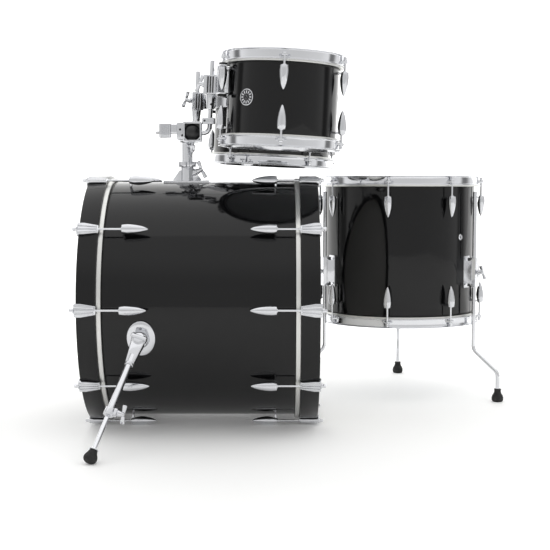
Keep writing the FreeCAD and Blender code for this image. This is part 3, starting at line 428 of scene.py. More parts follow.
def heldTom(tom):  # a tom on the holder: local X points at its mount
    middle = boxMiddle(tom + "_shell")
    tilt = alongAxis((0, 0, 0), joints[tom + "_lift"]["axis"])
    reach = tilt.inverted() @ (Vector(joints[tom + "_turn"]["pos_m"]) - middle)
    place = Matrix.Translation(middle) @ tilt @ Matrix.Rotation(math.atan2(reach.y, reach.x), 4, "Z")
    size = boxSize(tom + "_shell")
    radius = size.y / 2
    lean = math.acos(min(1, joints[tom + "_lift"]["axis"][2]))
    length = (size.z - 2 * radius * math.sin(lean)) / math.cos(lean)
    return {"place": place, "radius": radius, "length": length, "reach": reach.length, "count": 5,
            "start": 36}


def bassDrum():
    turn = Matrix(((0, 0, 1), (1, 0, 0), (0, 1, 0))).to_4x4()
    size = boxSize("bass_shell")
    return {"place": Matrix.Translation(boxMiddle("bass_shell")) @ turn, "radius": size.z / 2,
            "length": size.x, "count": 10, "start": 0}


def floorTom():
    axis = joints["leg_screw_1_turn"]["axis"]  # points away from the drum at the first leg
    size = boxSize("floor_shell")
    turn = Matrix.Rotation(math.atan2(axis[1], axis[0]), 4, "Z")
    return {"place": Matrix.Translation(boxMiddle("floor_shell")) @ turn, "radius": size.y / 2,
            "length": size.z, "count": 8, "start": 22.5}


drums = {"bass": bassDrum(), "small": heldTom("small"), "medium": heldTom("medium"), "floor": floorTom()}


def aroundDrum(drum):  # both ends of the drum, all round
    places = []
    for index in range(drum["count"]):
        turn = turnZ(drum["start"] + 360 / drum["count"] * index)
        places.append(drum["place"] @ turn)
        places.append(drum["place"] @ turnZ(2 * drum["start"]) @ upsideDown @ turn)
    return places


def endsOf(drum):
    return [drum["place"], drum["place"] @ upsideDown]


def makeShell(name, drum, wall):
    edge = 4 * mm
    radius, half = drum["radius"], drum["length"] / 2
    inner = radius - wall
    bevel = half - (wall - edge)
    outline = [(radius, -half + edge), (radius, half - edge), (radius - edge, half), (inner, bevel),
               (inner, -bevel), (radius - edge, -half)]
    shell = lathe(name + "Shell", outline, 160, ring=True)
    rounded(shell, 0.6 * mm, 2, 20)
    smoothed(shell, 30)
    give(shell, name + "_shell", blackLacquer)
    shell.data.materials.append(maplePly)
    for face in shell.data.polygons:  # the bearing edges and the inside are bare wood
        radial = Vector((face.center.x, face.center.y))
        if radial.length < radius - 0.7 * mm:
            face.material_index = 1
    place(shell, drum["place"])


def makeHead(name, drum, flesh, material, end, node):
    radius, half = drum["radius"], drum["length"] / 2
    film = 0.4 * mm
    low = flesh["low"]
    outline = [(2 * mm, half), (radius - 3.4 * mm, half), (radius + 0.6 * mm, half - 4 * mm),
               (radius + 0.6 * mm, low + 1 * mm), (radius + 1.0 * mm, low + 1 * mm),
               (radius + 1.0 * mm, half - 3.8 * mm), (radius - 3.2 * mm, half + film), (2 * mm, half + film)]
    skin = smoothed(lathe(name + "Film", outline, 160), 30)
    skin.data.transform(end)
    give(skin, node, material)
    ring = lathe(name + "FleshHoop", [(radius + 1.1 * mm, low), (flesh["outer"], low),
                                      (flesh["outer"], flesh["high"]), (radius + 1.1 * mm, flesh["high"])],
                 160, ring=True)
    rounded(ring, 1.2 * mm, 3)
    smoothed(ring)
    ring.data.transform(end)
    give(ring, node, brushedAluminium)


bassHoop = {"gap": 2 * mm, "wall": 12.5 * mm, "width": 42.5 * mm, "overlap": 4.5 * mm, "round": 2.4 * mm}
hoopStart = drums["bass"]["length"] / 2 - bassHoop["overlap"]
hoopEnd = hoopStart + bassHoop["width"]
bassFlesh = {"low": hoopStart - 11 * mm, "high": hoopStart, "outer": drums["bass"]["radius"] + 8.5 * mm}
makeShell("bass", drums["bass"], 7.5 * mm)
bassSkins = zip(("Batter", "Front"), (coatedPolyester, blackPolyester), endsOf(drums["bass"]))
for side, material, end in bassSkins:
    makeHead("bass" + side, drums["bass"], bassFlesh, material, end, "bass_heads")
for tom in ("small", "medium", "floor"):
    makeShell(tom, drums[tom], 6 * mm)
    half = drums[tom]["length"] / 2
    tomFlesh = {"low": half - 9 * mm, "high": half - 2 * mm, "outer": drums[tom]["radius"] + 9.5 * mm}
    tomSkins = zip(("Batter", "Under"), (coatedPolyester, clearPolyester), endsOf(drums[tom]))
    for side, material, end in tomSkins:
        makeHead(tom + side, drums[tom], tomFlesh, material, end, tom + "_heads")
print("shells and heads made")


def makeBassHoops():
    inner = drums["bass"]["radius"] + bassHoop["gap"]
    outer = inner + bassHoop["wall"]
    outline = [(inner, hoopStart), (outer, hoopStart), (outer, hoopEnd), (inner, hoopEnd)]
    hoop = lathe("bassHoops", outline, 192, ring=True)
    rounded(hoop, bassHoop["round"], 4)
    smoothed(hoop)
    give(repeated("bassHoops", hoop, endsOf(drums["bass"])), "bass_hoops", blackLacquer)


def makeLug(name, drum, spec):
    # a long drop whose flat wide end a foot holds off the shell, so that a wedge of air shows beside it
    line, top, length = drum["radius"] + spec["offset"], spec["top"], spec["length"]
    outline = []
    taper = 0.84  # share of the length that the drop's point takes
    for share in (0.02, 0.08, 0.18, 0.32, 0.48, 0.64, 0.8):
        swell = (1 - (1 - share) ** 2) ** 0.72
        outline.append((spec["width"] / 2 * swell, top - length * (1 - taper * share)))
    outline += [(spec["width"] / 2, top - length * 0.22), (spec["width"] * 0.46, top - 0.6 * mm),
                (spec["width"] * 0.44, top)]
    lug = lathe(name, outline, 36)
    place(lug, Matrix.Translation((line, 0, 0)))
    bpy.ops.object.mode_set(mode="EDIT")
    bpy.ops.mesh.select_all(action="SELECT")
    slope = Vector((taper * length, 0, -0.62 * spec["offset"])).normalized()
    bpy.ops.mesh.bisect(plane_co=(drum["radius"] - 0.4 * mm, 0, top - length), plane_no=slope,
                        use_fill=True, clear_inner=True)
    deselectAll()
    rounded(lug, 0.9 * mm, 3, 40)
    foot = block(name + "Foot", (drum["radius"] - 0.8 * mm, -spec["width"] * 0.36, top - 5 * mm),
                 (line - spec["offset"] * 0.2, spec["width"] * 0.36, top - 0.6 * mm))
    rounded(foot, 0.8 * mm, 2)
    nut = lathe(name + "Nut", [(3 * mm, top - 1 * mm), (5.2 * mm, top - 1 * mm), (5.2 * mm, top + 0.8 * mm),
                               (4.4 * mm, top + 2.2 * mm), (3 * mm, top + 2.2 * mm)], 28, ring=True)
    nut.data.transform(Matrix.Translation((line, 0, 0)))
    rounded(nut, 0.4 * mm)
    return smoothed(joined(name, [lug, foot, nut]), 36)


def makeRod(name, line, low, seat, head):
    # shank, washer and square head of a key rod
    shank = lathe(name, [(2.5 * mm, low), (2.5 * mm, seat + 1 * mm)], 16)
    washer = lathe(name + "Washer", [(5.8 * mm, seat), (5.8 * mm, seat + 1.6 * mm),
                                     (4.8 * mm, seat + 1.7 * mm), (4.6 * mm, seat + 4 * mm)], 28)
    rounded(washer, 0.3 * mm)
    key = block(name + "Key", (-head / 2, -head / 2, seat + 3 * mm), (head / 2, head / 2, seat + 9.8 * mm))
    pick(key, lambda centre, normal: normal.z > 0.9)
    bpy.ops.mesh.inset(thickness=1 * mm)
    bpy.ops.transform.translate(value=(0, 0, 0.5 * mm))
    deselectAll()
    rounded(key, 0.5 * mm)
    whole = joined(name, [shank, washer, key])
    whole.data.transform(Matrix.Translation((line, 0, 0)))
    return smoothed(whole)


def makeClaw(spec):
    # plate over the hoop, hooked over its outer face, with three ribs
    inner = drums["bass"]["radius"] + bassHoop["gap"]
    outer = inner + bassHoop["wall"]
    low, high = hoopStart - 2 * mm, hoopEnd + spec["metal"]
    half, front, below = spec["width"] / 2, outer + spec["depth"], low + 1 * mm
    claw = block("claw", (outer + 0.2 * mm, -half, low), (front, half, high))
    activate(claw)
    bpy.ops.object.mode_set(mode="EDIT")
    bpy.ops.mesh.select_all(action="SELECT")
    bpy.ops.mesh.bisect(plane_co=(0, 0, hoopEnd + 0.2 * mm), plane_no=(0, 0, 1))
    bpy.ops.mesh.select_all(action="SELECT")
    bpy.ops.mesh.bisect(plane_co=(0, 0, hoopEnd - 12 * mm), plane_no=(0, 0, 1))
    pick(claw, lambda centre, normal: normal.z < -0.9)
    bpy.ops.transform.resize(value=(1, spec["neck"] / spec["width"], 1))
    bpy.ops.transform.translate(value=(-1 * mm, 0, 0))
    pick(claw, lambda co, normal: co.z < below and co.x > outer + 3 * mm, "VERT")
    bpy.ops.transform.translate(value=(-1.2 * mm, 0, 0))
    pick(claw, lambda co, normal: co.z < below and co.x < outer + 3 * mm, "VERT")
    bpy.ops.transform.translate(value=(1 * mm, 0, 0))
    pick(claw, lambda centre, normal: normal.x < -0.9 and centre.z > hoopEnd)
    bpy.ops.mesh.extrude_region_move(TRANSFORM_OT_translate={"value": (inner + 2.5 * mm - outer, 0, 0)})
    bpy.ops.transform.resize(value=(1, 0.8, 1))
    deselectAll()
    rounded(claw, 1.6 * mm, 3)
    ribs = []
    for across in (-1, 0, 1):
        line = across * spec["ribStep"]
        rib = block("rib", (front - spec["ribRise"], line - spec["ribHalf"], low + 4 * mm),
                    (front + spec["ribRise"], line + spec["ribHalf"], high - 2 * mm))
        pick(rib, lambda centre, normal: normal.z < -0.9)
        bpy.ops.transform.translate(value=(-1.6 * mm, -across * 3.4 * mm, 0))
        bpy.ops.transform.resize(value=(1, 0.7, 1))
        deselectAll()
        ribs.append(rounded(rib, 1.2 * mm, 3))
    boss = lathe("clawBoss", [(3 * mm, high - 1 * mm), (7.2 * mm, high - 1 * mm), (6.6 * mm, high + 0.4 * mm),
                              (3 * mm, high + 0.4 * mm)], 32, ring=True)
    boss.data.transform(Matrix.Translation((drums["bass"]["radius"] + bassLug["offset"], 0, 0)))
    return smoothed(joined("claw", [claw] + ribs + [rounded(boss, 0.4 * mm)]))


bassLug = {"offset": 17.6 * mm, "width": 22.4 * mm, "length": 59 * mm, "top": 171 * mm}
clawSpec = {"width": 30 * mm, "neck": 19 * mm, "depth": 7.4 * mm, "metal": 3.5 * mm, "ribStep": 9.0 * mm,
            "ribHalf": 3.2 * mm, "ribRise": 2 * mm}
bassPlaces = aroundDrum(drums["bass"])
makeBassHoops()
give(repeated("bassLugs", makeLug("bassLug", drums["bass"], bassLug), bassPlaces), "bass_lugs", chromeOnZinc)
give(repeated("bassClaws", makeClaw(clawSpec), bassPlaces), "bass_claws", chromeOnZinc)
bassRod = makeRod("bassRod", drums["bass"]["radius"] + bassLug["offset"], bassLug["top"] - 20 * mm,
                  hoopEnd + clawSpec["metal"] + 0.1 * mm, 7 * mm)
give(repeated("bassRods", bassRod, bassPlaces), "bass_rods", chromePlate)
print("bass drum fittings made")


def makeTomHoops(tom, drum):
    spec = {"gap": 9.7 * mm, "metal": 2.3 * mm, "height": 24 * mm, "rise": 19 * mm, "flange": 4.5 * mm,
            "earWidth": 19 * mm, "earDepth": 6.5 * mm}
    radius, half = drum["radius"], drum["length"] / 2
    inner, rim = radius + spec["gap"], half + spec["rise"]
    outer, low = inner + spec["metal"], half + spec["rise"] - spec["height"]
    flesh = half - 2 * mm
    outline = [(inner, low), (outer + spec["flange"], low), (outer + spec["flange"], low + spec["metal"]),
               (outer + 0.8 * mm, low + spec["metal"] + 0.2 * mm), (outer, low + spec["metal"] + 1.2 * mm),
               (outer, rim - 4 * mm), (outer + 1.2 * mm, rim - 2.6 * mm),
               (outer + spec["flange"], rim - 2.1 * mm),
               (outer + spec["flange"] + 0.2 * mm, rim - 1 * mm), (outer + spec["flange"] - 0.6 * mm, rim),
               (inner + 0.8 * mm, rim), (inner, rim - 1.4 * mm), (inner, flesh + spec["metal"]),
               (radius + 4 * mm, flesh + spec["metal"]), (radius + 4 * mm, flesh), (inner, flesh)]
    band = smoothed(rounded(lathe(tom + "Band", outline, 160, ring=True), 0.35 * mm), 30)
    line = radius + tomLug["offset"]
    ear = block("ear", (outer - 1 * mm, -spec["earWidth"] / 2, low + 5.5 * mm),
                (line + spec["earDepth"], spec["earWidth"] / 2, low + 10 * mm))
    pick(ear, lambda centre, normal: normal.x > 0.9)
    bpy.ops.transform.resize(value=(1, 0.62, 0.8))
    pick(ear, lambda centre, normal: normal.x < -0.9)
    bpy.ops.transform.resize(value=(1, 1.35, 1.3))
    deselectAll()
    smoothed(rounded(ear, 1.1 * mm, 3))
    bands = [copyOf(band, matrix) for matrix in endsOf(drum)]
    bpy.data.objects.remove(band)
    ears = [copyOf(ear, matrix) for matrix in aroundDrum(drum)]
    bpy.data.objects.remove(ear)
    give(joined(tom + "Hoops", bands + ears), tom + "_hoops", chromePlate)
    return low + 10 * mm


tomLug = {"offset": 18 * mm, "width": 20.6 * mm, "length": 54 * mm, "inset": 19 * mm}
for tom, inset in (("small", 0), ("medium", 0), ("floor", 16 * mm)):
    drum = drums[tom]
    spec = {**tomLug, "top": drum["length"] / 2 - tomLug["inset"] - inset}
    seat = makeTomHoops(tom, drum)
    lugs = repeated(tom + "Lugs", makeLug(tom + "Lug", drum, spec), aroundDrum(drum))
    give(lugs, tom + "_lugs", chromeOnZinc)
    rod = makeRod(tom + "Rod", drum["radius"] + tomLug["offset"], spec["top"] - 20 * mm, seat, 7 * mm)
    give(repeated(tom + "Rods", rod, aroundDrum(drum)), tom + "_rods", chromePlate)
print("tom fittings made")


def makeWingBolt(name, node, joint, shank):
    spec = {"span": 43 * mm, "height": 19 * mm, "thick": 5 * mm}
    hub = lathe(name, [(4 * mm, -shank), (4 * mm, 0.2 * mm), (7 * mm, 0.2 * mm), (6.8 * mm, 3 * mm),
                       (5.2 * mm, 8 * mm), (5.2 * mm, 12 * mm), (4 * mm, 15 * mm), (2 * mm, 15.6 * mm)], 28)
    rounded(hub, 0.3 * mm)
    half = spec["span"] / 2
    wing = block("wing", (3 * mm, -spec["thick"] / 2, 0.34 * spec["height"]),
                 (half, spec["thick"] / 2, spec["height"]))
    pick(wing, lambda centre, normal: normal.x < -0.9)
    bpy.ops.transform.resize(value=(1, 0.8, 0.55))
    pick(wing, lambda centre, normal: normal.x > 0.9)
    bpy.ops.transform.resize(value=(1, 1.0, 0.8))
    bpy.ops.transform.translate(value=(0, 0, 1 * mm))
    deselectAll()
    rounded(wing, 2.3 * mm, 4)
    other = copyOf(wing, turnZ(180))
    bolt = smoothed(joined(name, [hub, wing, other]), 40)
    bolt.data.transform(jointPlace(joint))
    give(bolt, node, chromeOnZinc)


wingBolts = [("nearSpurWing", "near_spur_wing", "near_spur_screw_turn", 10 * mm),
             ("farSpurWing", "far_spur_wing", "far_spur_screw_turn", 10 * mm),
             ("holderWing", "holder_wing", "holder_bolt_turn", 7 * mm),
             ("smallBallWing", "small_ball_wing", "small_ball_screw_turn", 7 * mm),
             ("mediumBallWing", "medium_ball_wing", "medium_ball_screw_turn", 7 * mm),
             ("smallWing", "small_wing", "small_mount_screw_turn", 9 * mm),
             ("mediumWing", "medium_wing", "medium_mount_screw_turn", 9 * mm)]
wingBolts += [(f"legWing{i}", f"floor_wing_{i}", f"leg_screw_{i}_turn", 6 * mm) for i in (1, 2, 3)]
for bolt in wingBolts:
    makeWingBolt(*bolt)
print("wing bolts made")


for node in ("holder_base", "holder_collar", "leg_brackets", "small_bracket",
             "medium_bracket", "small_lock", "medium_lock"):
    softened(node, chromeOnZinc)
softened("holder_post", chromePlate, 0.4 * mm)
for node in ("small_isolators", "medium_isolators"):
    softened(node, blackRubber, 0.8 * mm)
for node in ("small_ball", "medium_ball"):
    softened(node, blackNylon, 0.4 * mm)
softened("small_badge", darkEnamel, 0.3 * mm)
print("brackets made")


def basis(position, x, z):  # a placement from a point, its X axis and its Z axis
    x, z = Vector(x).normalized(), Vector(z).normalized()
    turn = Matrix((x, z.cross(x), z)).transposed()
    return Matrix.Translation(Vector(position)) @ turn.to_4x4()


def makeFloorLegs():
    spec = {"radius": 5.25 * mm, "foot": 300.2 * mm, "sole": 12 * mm, "ankle": 76 * mm, "knee": 132 * mm,
            "line": 228.2 * mm, "top": 550 * mm, "bend": 24 * mm}
    out, up = spec["foot"] - spec["line"], spec["knee"] - spec["ankle"]
    lean = math.atan2(out, up)
    lost = spec["bend"] * math.tan(lean / 2)
    path = [("run", spec["ankle"] - spec["sole"] - lost), ("bend", -math.degrees(lean), spec["bend"]),
            ("run", math.hypot(out, up) - 2 * lost), ("bend", math.degrees(lean), spec["bend"]),
            ("run", spec["top"] - spec["knee"] - lost)]
    for index in (1, 2, 3):
        axis = joints[f"leg_screw_{index}_turn"]["axis"]
        middle = boxMiddle("floor_shell")
        turn = Matrix.Rotation(math.atan2(axis[1], axis[0]), 4, "Z")
        stand = Matrix.Translation((middle.x, middle.y, 0)) @ turn
        leg = tube(f"floorLeg{index}", spec["radius"], path)
        leg.data.transform(stand @ Matrix.Translation((spec["foot"], 0, spec["sole"])))
        give(leg, f"floor_leg_{index}", chromePlate)
        outline = profile((11, 0.1), (13.6, 1.6), (15, 6), (15, 12), (13.4, 17), (10, 22), (8.6, 27),
                          (8.6, 31.4), (9.4, 32), (9.4, 33.8), (5.4, 34))
        foot = lathe(f"floorFoot{index}", outline, 40)
        rounded(foot, 0.5 * mm)
        foot.data.transform(stand @ Matrix.Translation((spec["foot"], 0, 0)))
        give(smoothed(foot, 40), f"floor_foot_{index}", blackRubber)


def makeArm(tom, spec):
    # the L-shaped rod from the ball up to the mount
    ball = Vector(joints[tom + "_swivel"]["pos_m"])
    upright = Vector(joints[tom + "_turn"]["pos_m"]) - ball
    up = Vector(joints[tom + "_lift"]["axis"])
    run = (upright - up * upright.dot(up)).normalized()
    path = [("run", spec["run"] * 0.98 - spec["bend"]), ("bend", -90, spec["bend"]),
            ("run", spec["rise"] - spec["bend"])]
    arm = tube(tom + "Arm", spec["radius"], path)
    arm.data.transform(basis(ball + run * spec["run"] * 0.02, -up, run))
    give(arm, tom + "_arm", chromePlate)
    return ball, run


def makeSpur():
    # in this frame X runs down the leg and Z points away from the drum
    spec = {"tube": 8 * mm, "tubeEnd": 190 * mm, "rodStart": 120 * mm, "rod": 5 * mm, "level": 10.3 * mm,
            "oval": 1.27, "lockTurn": -96}
    fold = joints["near_spur_fold"]
    line = Vector(joints["near_spur_extend"]["axis"])
    here = basis(fold["pos_m"], line, fold["axis"])
    down = Matrix.Translation((0, 0, spec["level"])) @ Matrix.Rotation(math.pi / 2, 4, "Y")
    foot = boxMiddle("near_spur_foot")
    reach = (here.inverted() @ foot).x + 1.5 * mm
    middle = boxMiddle("bass_shell").y
    across = Matrix.Translation((0, 2 * middle, 0)) @ Matrix.Scale(-1, 4, (0, 1, 0))

    disc = lathe("spurDisc", profile((6, 2.6), (18.5, 2.6), (18.5, 8), (16.8, 9), (16.8, 16.5), (14, 18.2),
                                     (6, 18.2)), 56)
    rounded(disc, 0.7 * mm, 3)
    yoke = brick("spurYoke", (6, -15.5, 3.4), (62, 15.5, 17.4))
    pick(yoke, lambda centre, normal: normal.x > 0.9)
    bpy.ops.transform.resize(value=(1, 0.6, 0.96))
    deselectAll()
    rounded(yoke, 3.2 * mm, 4)
    outer = lathe("spurTube", [(spec["tube"], 40 * mm), (spec["tube"], 172 * mm),
                               (spec["tube"] + 3 * mm, 173 * mm), (spec["tube"] + 3 * mm, 189 * mm),
                               (spec["tube"] + 1.5 * mm, spec["tubeEnd"]),
                               (spec["rod"] + 0.3 * mm, spec["tubeEnd"])], 40)
    outer.data.transform(down)
    rounded(outer, 0.5 * mm)
    collar = lathe("spurCollar", profile((9.4, 60), (9.4, 66)), 40)
    collar.data.transform(down)
    rounded(collar, 0.8 * mm, 3)
    ear = brick("spurEar", (171, 4, 5), (188, 16.6, 15.6))
    rounded(ear, 2 * mm, 3)
    leg = smoothed(joined("spurLeg", [disc, yoke, outer, collar, ear]), 38)

    bar = lathe("spurRod", [(spec["rod"], spec["rodStart"]), (spec["rod"], reach - 20 * mm),
                            (10.6 * mm, reach - 19.6 * mm), (10.6 * mm, reach - 17.2 * mm),
                            (spec["rod"], reach - 16.8 * mm), (spec["rod"], reach - 4 * mm)], 40)
    bar.data.transform(down)
    rounded(bar, 0.4 * mm)
    smoothed(bar, 38)
    outline = profile((8.2, -16.4), (9.2, -15), (10.4, -11), (13.2, -6), (14.6, -1), (14.4, 3), (12.2, 7),
                      (8.4, 9.6), (3, 11))
    bulb = lathe("spurFoot", [(radius, reach + height) for radius, height in outline], 44)
    bulb.data.transform(down)
    smoothed(bulb, 60)
    for piece, name, node, material in ((leg, "SpurLeg", "spur_leg", chromeOnZinc),
                                        (bar, "SpurRod", "spur_rod", chromePlate),
                                        (bulb, "SpurFoot", "spur_foot", blackRubber)):
        piece.data.transform(here)
        for side, matrix in (("near", Matrix.Identity(4)), ("far", across)):
            copy = copyOf(piece, matrix)
            copy.name = side + name
            if node == "spur_foot":  # flattened where it stands on the floor
                sliced(copy, (0, 0, 0.1 * mm), (0, 0, -1))
            give(copy, f"{side}_{node}", material)
        bpy.data.objects.remove(piece)

    # an oval plate on the shell, a round neck out to the pivot, and a cap with a slanting lock bar on it,
    # with a strip of painted shade beside the bar
    pivot = Vector(fold["pos_m"])
    axisPoint = Vector((pivot.x, middle, boxMiddle("bass_shell").z))
    out = (pivot - axisPoint).normalized()
    radius = drums["bass"]["radius"]
    onShell = basis(axisPoint + out * radius, (1, 0, 0), out)
    stand = (pivot - axisPoint).length - radius
    plate = lathe("spurPlate", profile((31.5, -3), (31.5, 3.4), (29, 5.4), (20, 6.6)), 72)
    plate.data.transform(Matrix.Scale(spec["oval"], 4, (0, 1, 0)))
    rounded(plate, 0.8 * mm, 3)
    neck = lathe("spurNeck", profile((21, 5), (19.5, 8), (17.5, 14)) +
                 [(16.4 * mm, stand - 4 * mm), (14.5 * mm, stand + 1 * mm), (11 * mm, stand + 3 * mm)], 56)
    for piece in (plate, neck):
        piece.data.transform(onShell)
    cap = lathe("spurCap", profile((14, 18.4), (14, 20.2), (11, 21.2), (11, 22.2)), 48)
    rounded(cap, 0.5 * mm)
    lock = brick("spurLock", (-18, -4.4, 20.2), (18, 4.4, 25))
    rounded(lock, 2.1 * mm, 3)
    # painted shade: a thin black strip along one side of the lock bar stands for the shade it casts
    dark = brick("spurLockShade", (-16, -7, 20.4), (16, -4.9, 21.8))
    for piece in (cap, lock, dark):
        piece.data.transform(here @ turnZ(spec["lockTurn"]))
    trim = smoothed(joined("spurPlates", [plate, neck, cap, lock]), 38)
    for piece, name, material in ((trim, "spurPlates", chromeOnZinc), (dark, "spurLockShades", blackRubber)):
        give(repeated(name, piece, [Matrix.Identity(4), across]), "spur_brackets", material)


def makeBadge():
    # a light ring and a plain star round the vent, on dark enamel
    centre = boxMiddle("small_badge")
    drum = drums["small"]["place"]
    local = drum.inverted() @ centre
    out = drum.to_3x3() @ Vector((local.x, local.y, 0)).normalized()
    spot = drum @ (Vector((local.x, local.y, 0)).normalized() * drums["small"]["radius"])
    here = basis(spot, drum.to_3x3() @ Vector((0, 0, 1)), out)
    ring = lathe("badgeRing", profile((16.6, -1.6), (18.6, -1.6), (18.6, 1.2), (16.6, 1.5)), 64, ring=True)
    rounded(ring, 0.4 * mm)
    inner = lathe("badgeEye", profile((2.6, 0.2), (6.4, 0.2), (5.6, 2.0), (2.6, 2.2)), 40, ring=True)
    rays, rayCount = [], 12
    for index in range(rayCount):
        ray = brick("badgeRay", (8.2, -0.8, 0.2), (14.4, 0.8, 1.5))
        pick(ray, lambda centre, normal: normal.x > 0.9)
        bpy.ops.transform.resize(value=(1, 1.9, 1))
        deselectAll()
        ray.data.transform(turnZ(360 / rayCount * index))
        rays.append(ray)
    emblem = smoothed(joined("badgeEmblem", [ring, inner] + rays), 38)
    emblem.data.transform(here)
    give(emblem, "small_badge", chromePlate)


def makeJaws(spot, turn):
    # a square frame on either side of a ball, with painted shade filling the corners of the window inside it
    # and a round rim under the ball
    jaws = Matrix.Translation(spot) @ turnZ(turn)
    bright, dark = [], []
    for side in (-1, 1):
        near, far = sorted((side * 11, side * 17.4))
        window = brick("window", (-17, near - 2, -18), (18, far + 2, 20))
        jaw = rounded(cutBy(brick("jaw", (-21, near, -22), (22, far, 24)), window, "DIFFERENCE"), 1.2 * mm, 2)
        jaw.data.transform(jaws)
        # painted shade: a black ring cut down to the window's corners stands for the shade in the hollow
        # behind them
        cornerShade = lathe("cornerShade", profile((19.4, 10.4), (27, 10.4), (27, 12.8), (19.4, 12.8)), 56, ring=True)
        cutBy(cornerShade, brick("corners", (-18, -19, 0), (19, 21, 20)), "INTERSECT")
        rim = lathe("jawRim", profile((20.4, 14), (23.6, 14), (23, 18), (21, 18.4)), 56, ring=True)
        rounded(rim, 0.6 * mm)
        for piece in (cornerShade, rim):
            piece.data.transform(jaws @ alongAxis((0, 0, 0), (0, side, 0)))
        sliced(rim, spot + Vector((0, 0, -9 * mm)), (0, 0, 1))
        bright += [jaw, rim]
        dark.append(cornerShade)
    for low, high in ((20, 25), (-23, -20.5)):
        bridge = rounded(brick("jawBridge", (-19, -17, low), (20, 17, high)), 1 * mm, 2)
        bridge.data.transform(jaws)
        bright.append(bridge)
    return bright, dark


def makeHolderHead():
    # measured from the post's axis and the height of the balls
    ball, run = armFrames["small"]
    post = boxMiddle("holder_post")
    here = Matrix.Translation((post.x, post.y, ball.z))
    outline = profile((13, -22.5), (19, -22.5), (21, -19), (21, 19), (19, 22.5), (4, 22.5))
    bright = [lathe("headSleeve", outline, 56)]
    for name, low, high, width in (("headFront", (-66, -15, -11), (-38, 15, 23), 2 * mm),
                                   ("headBridge", (-40, -12, -2), (-20, 12, 21), 1.5 * mm),
                                   ("headCheek", (-23, -22, -16), (-4, 22, 25), 2 * mm)):
        bright.append(rounded(brick(name, low, high), width, 3))
    for line in (-61, -56, -51, -46):
        bright.append(rounded(brick("headRib", (line, -17, -10), (line + 2.6, 17, 22)), 1 * mm, 3))
    pin = lathe("headPin", profile((2.6, 0), (3.2, 1), (3.2, 9)), 24)
    pin.data.transform(alongAxis((-75 * mm, 0, 2 * mm), (1, 0, 0)))
    bright.append(rounded(pin, 0.4 * mm))
    dark = []
    for joint, turn in (("small_swivel", 0), ("medium_swivel", 90)):
        jawBright, jawDark = makeJaws(Vector(joints[joint]["pos_m"]) - here.translation, turn)
        bright += jawBright
        dark += jawDark
    for x, y, z in ((-15, -22.4, 8), (-10, -22.4, -6)):
        screw = lathe("headScrew", profile((2.7, -1), (2.7, 0.6)), 20)
        screw.data.transform(alongAxis((x * mm, y * mm, z * mm), (0, -1, 0)))
        dark.append(screw)
    # the dark piece holds the painted shade in the jaw windows' corners and the small screws
    for parts, name, material in ((bright, "holderHead", chromeOnZinc), (dark, "holderShadesAndScrews", blackNylon)):
        piece = smoothed(joined(name, parts), 36)
        piece.data.transform(here)
        give(piece, "holder_head", material)

    # a clamp block on the upright of the small tom's arm, with its screw
    upright = Matrix.Translation(ball + run * armSpec["small"]["run"])
    clamp = rounded(brick("armClamp", (-17, -9, 21), (13, 9, 36)), 2 * mm, 3)
    clamp.data.transform(upright)
    give(smoothed(clamp, 36), "small_arm", chromeOnZinc)
    screw = lathe("armScrew", profile((2.4, 0), (2.4, 1.4)), 20)
    screw.data.transform(upright @ alongAxis((-11 * mm, -8.6 * mm, 29 * mm), (0, -1, 0)))
    give(screw, "small_arm", blackNylon)


def makeMountDetails(tom):
    # painted shade as dark strips in the slots down the clamp block, with bright ribs beside them, and screws
    # on the lock under it
    drum = drums[tom]
    clamp = Matrix.Translation((drum["reach"], 0, 36 * mm))
    slotShades, ribs = [], []
    for face in (-13.7, 13.7):  # millimetres from the rod's axis to the block's sides
        for line in (-9, -2.5, 4):
            # painted shade: a thin black sheet in each slot stands for the shade inside the groove
            slotShade = brick("slotShade", (line - 1.5, face - 0.4, -19), (line + 1.5, face + 0.4, 19))
            slotShades.append(rounded(slotShade, 0.3 * mm))
            rib = brick("rib", (line + 2, face - 1.2, -21), (line + 4.2, face + 1.2, 21))
            ribs.append(rounded(rib, 0.9 * mm, 3))
    for parts, name, material in ((slotShades, "SlotShades", blackRubber), (ribs, "Ribs", chromeOnZinc)):
        piece = smoothed(joined(tom + "Mount" + name, parts), 36)
        piece.data.transform(drum["place"] @ clamp)
        give(piece, tom + "_bracket", material)
    screws = []
    for side in (-1, 1):
        screw = lathe(tom + "LockScrew", profile((2.6, 9), (2.6, 12.6)), 20)
        screw.data.transform(alongAxis((drum["reach"], 0, -10 * mm), (-0.5, side, 0)))
        screws.append(screw)
    piece = smoothed(joined(tom + "LockScrews", screws), 36)
    piece.data.transform(drum["place"])
    give(piece, tom + "_lock", blackNylon)


def makeVent():  # a plain grommet round the floor tom's air hole
    spec = {"turn": math.radians(-44), "height": 36 * mm}
    out = Vector((math.cos(spec["turn"]), math.sin(spec["turn"]), 0))
    ring = lathe("floorVent", profile((2.6, 0.4), (7.8, 0.4), (6.4, 2), (3.4, 2.2)), 40, ring=True)
    rounded(ring, 0.3 * mm)
    spot = boxMiddle("floor_shell") + Vector((0, 0, spec["height"])) + out * drums["floor"]["radius"]
    ring.data.transform(basis(spot, (0, 0, 1), out))
    smoothed(ring, 38)
    ring.data.materials.append(chromePlate)
    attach(ring, bodyOf["floor_shell"])


makeFloorLegs()
armSpec = {"small": {"radius": 5.5 * mm, "run": 40 * mm, "rise": 170 * mm, "bend": 15 * mm},
           "medium": {"radius": 5.5 * mm, "run": 182 * mm, "rise": 170 * mm, "bend": 15 * mm}}
armFrames = {tom: makeArm(tom, armSpec[tom]) for tom in ("small", "medium")}
makeSpur()
makeBadge()
makeHolderHead()
makeMountDetails("small")
makeMountDetails("medium")
makeVent()
print("legs, arms, spurs, badge and holder head made")

studio = {"paper": "#fbfbfa", "wide": 9.0, "front": -5.0, "lit": 0.9, "back": 3.2, "high": 5.0, "curve": 1.6}


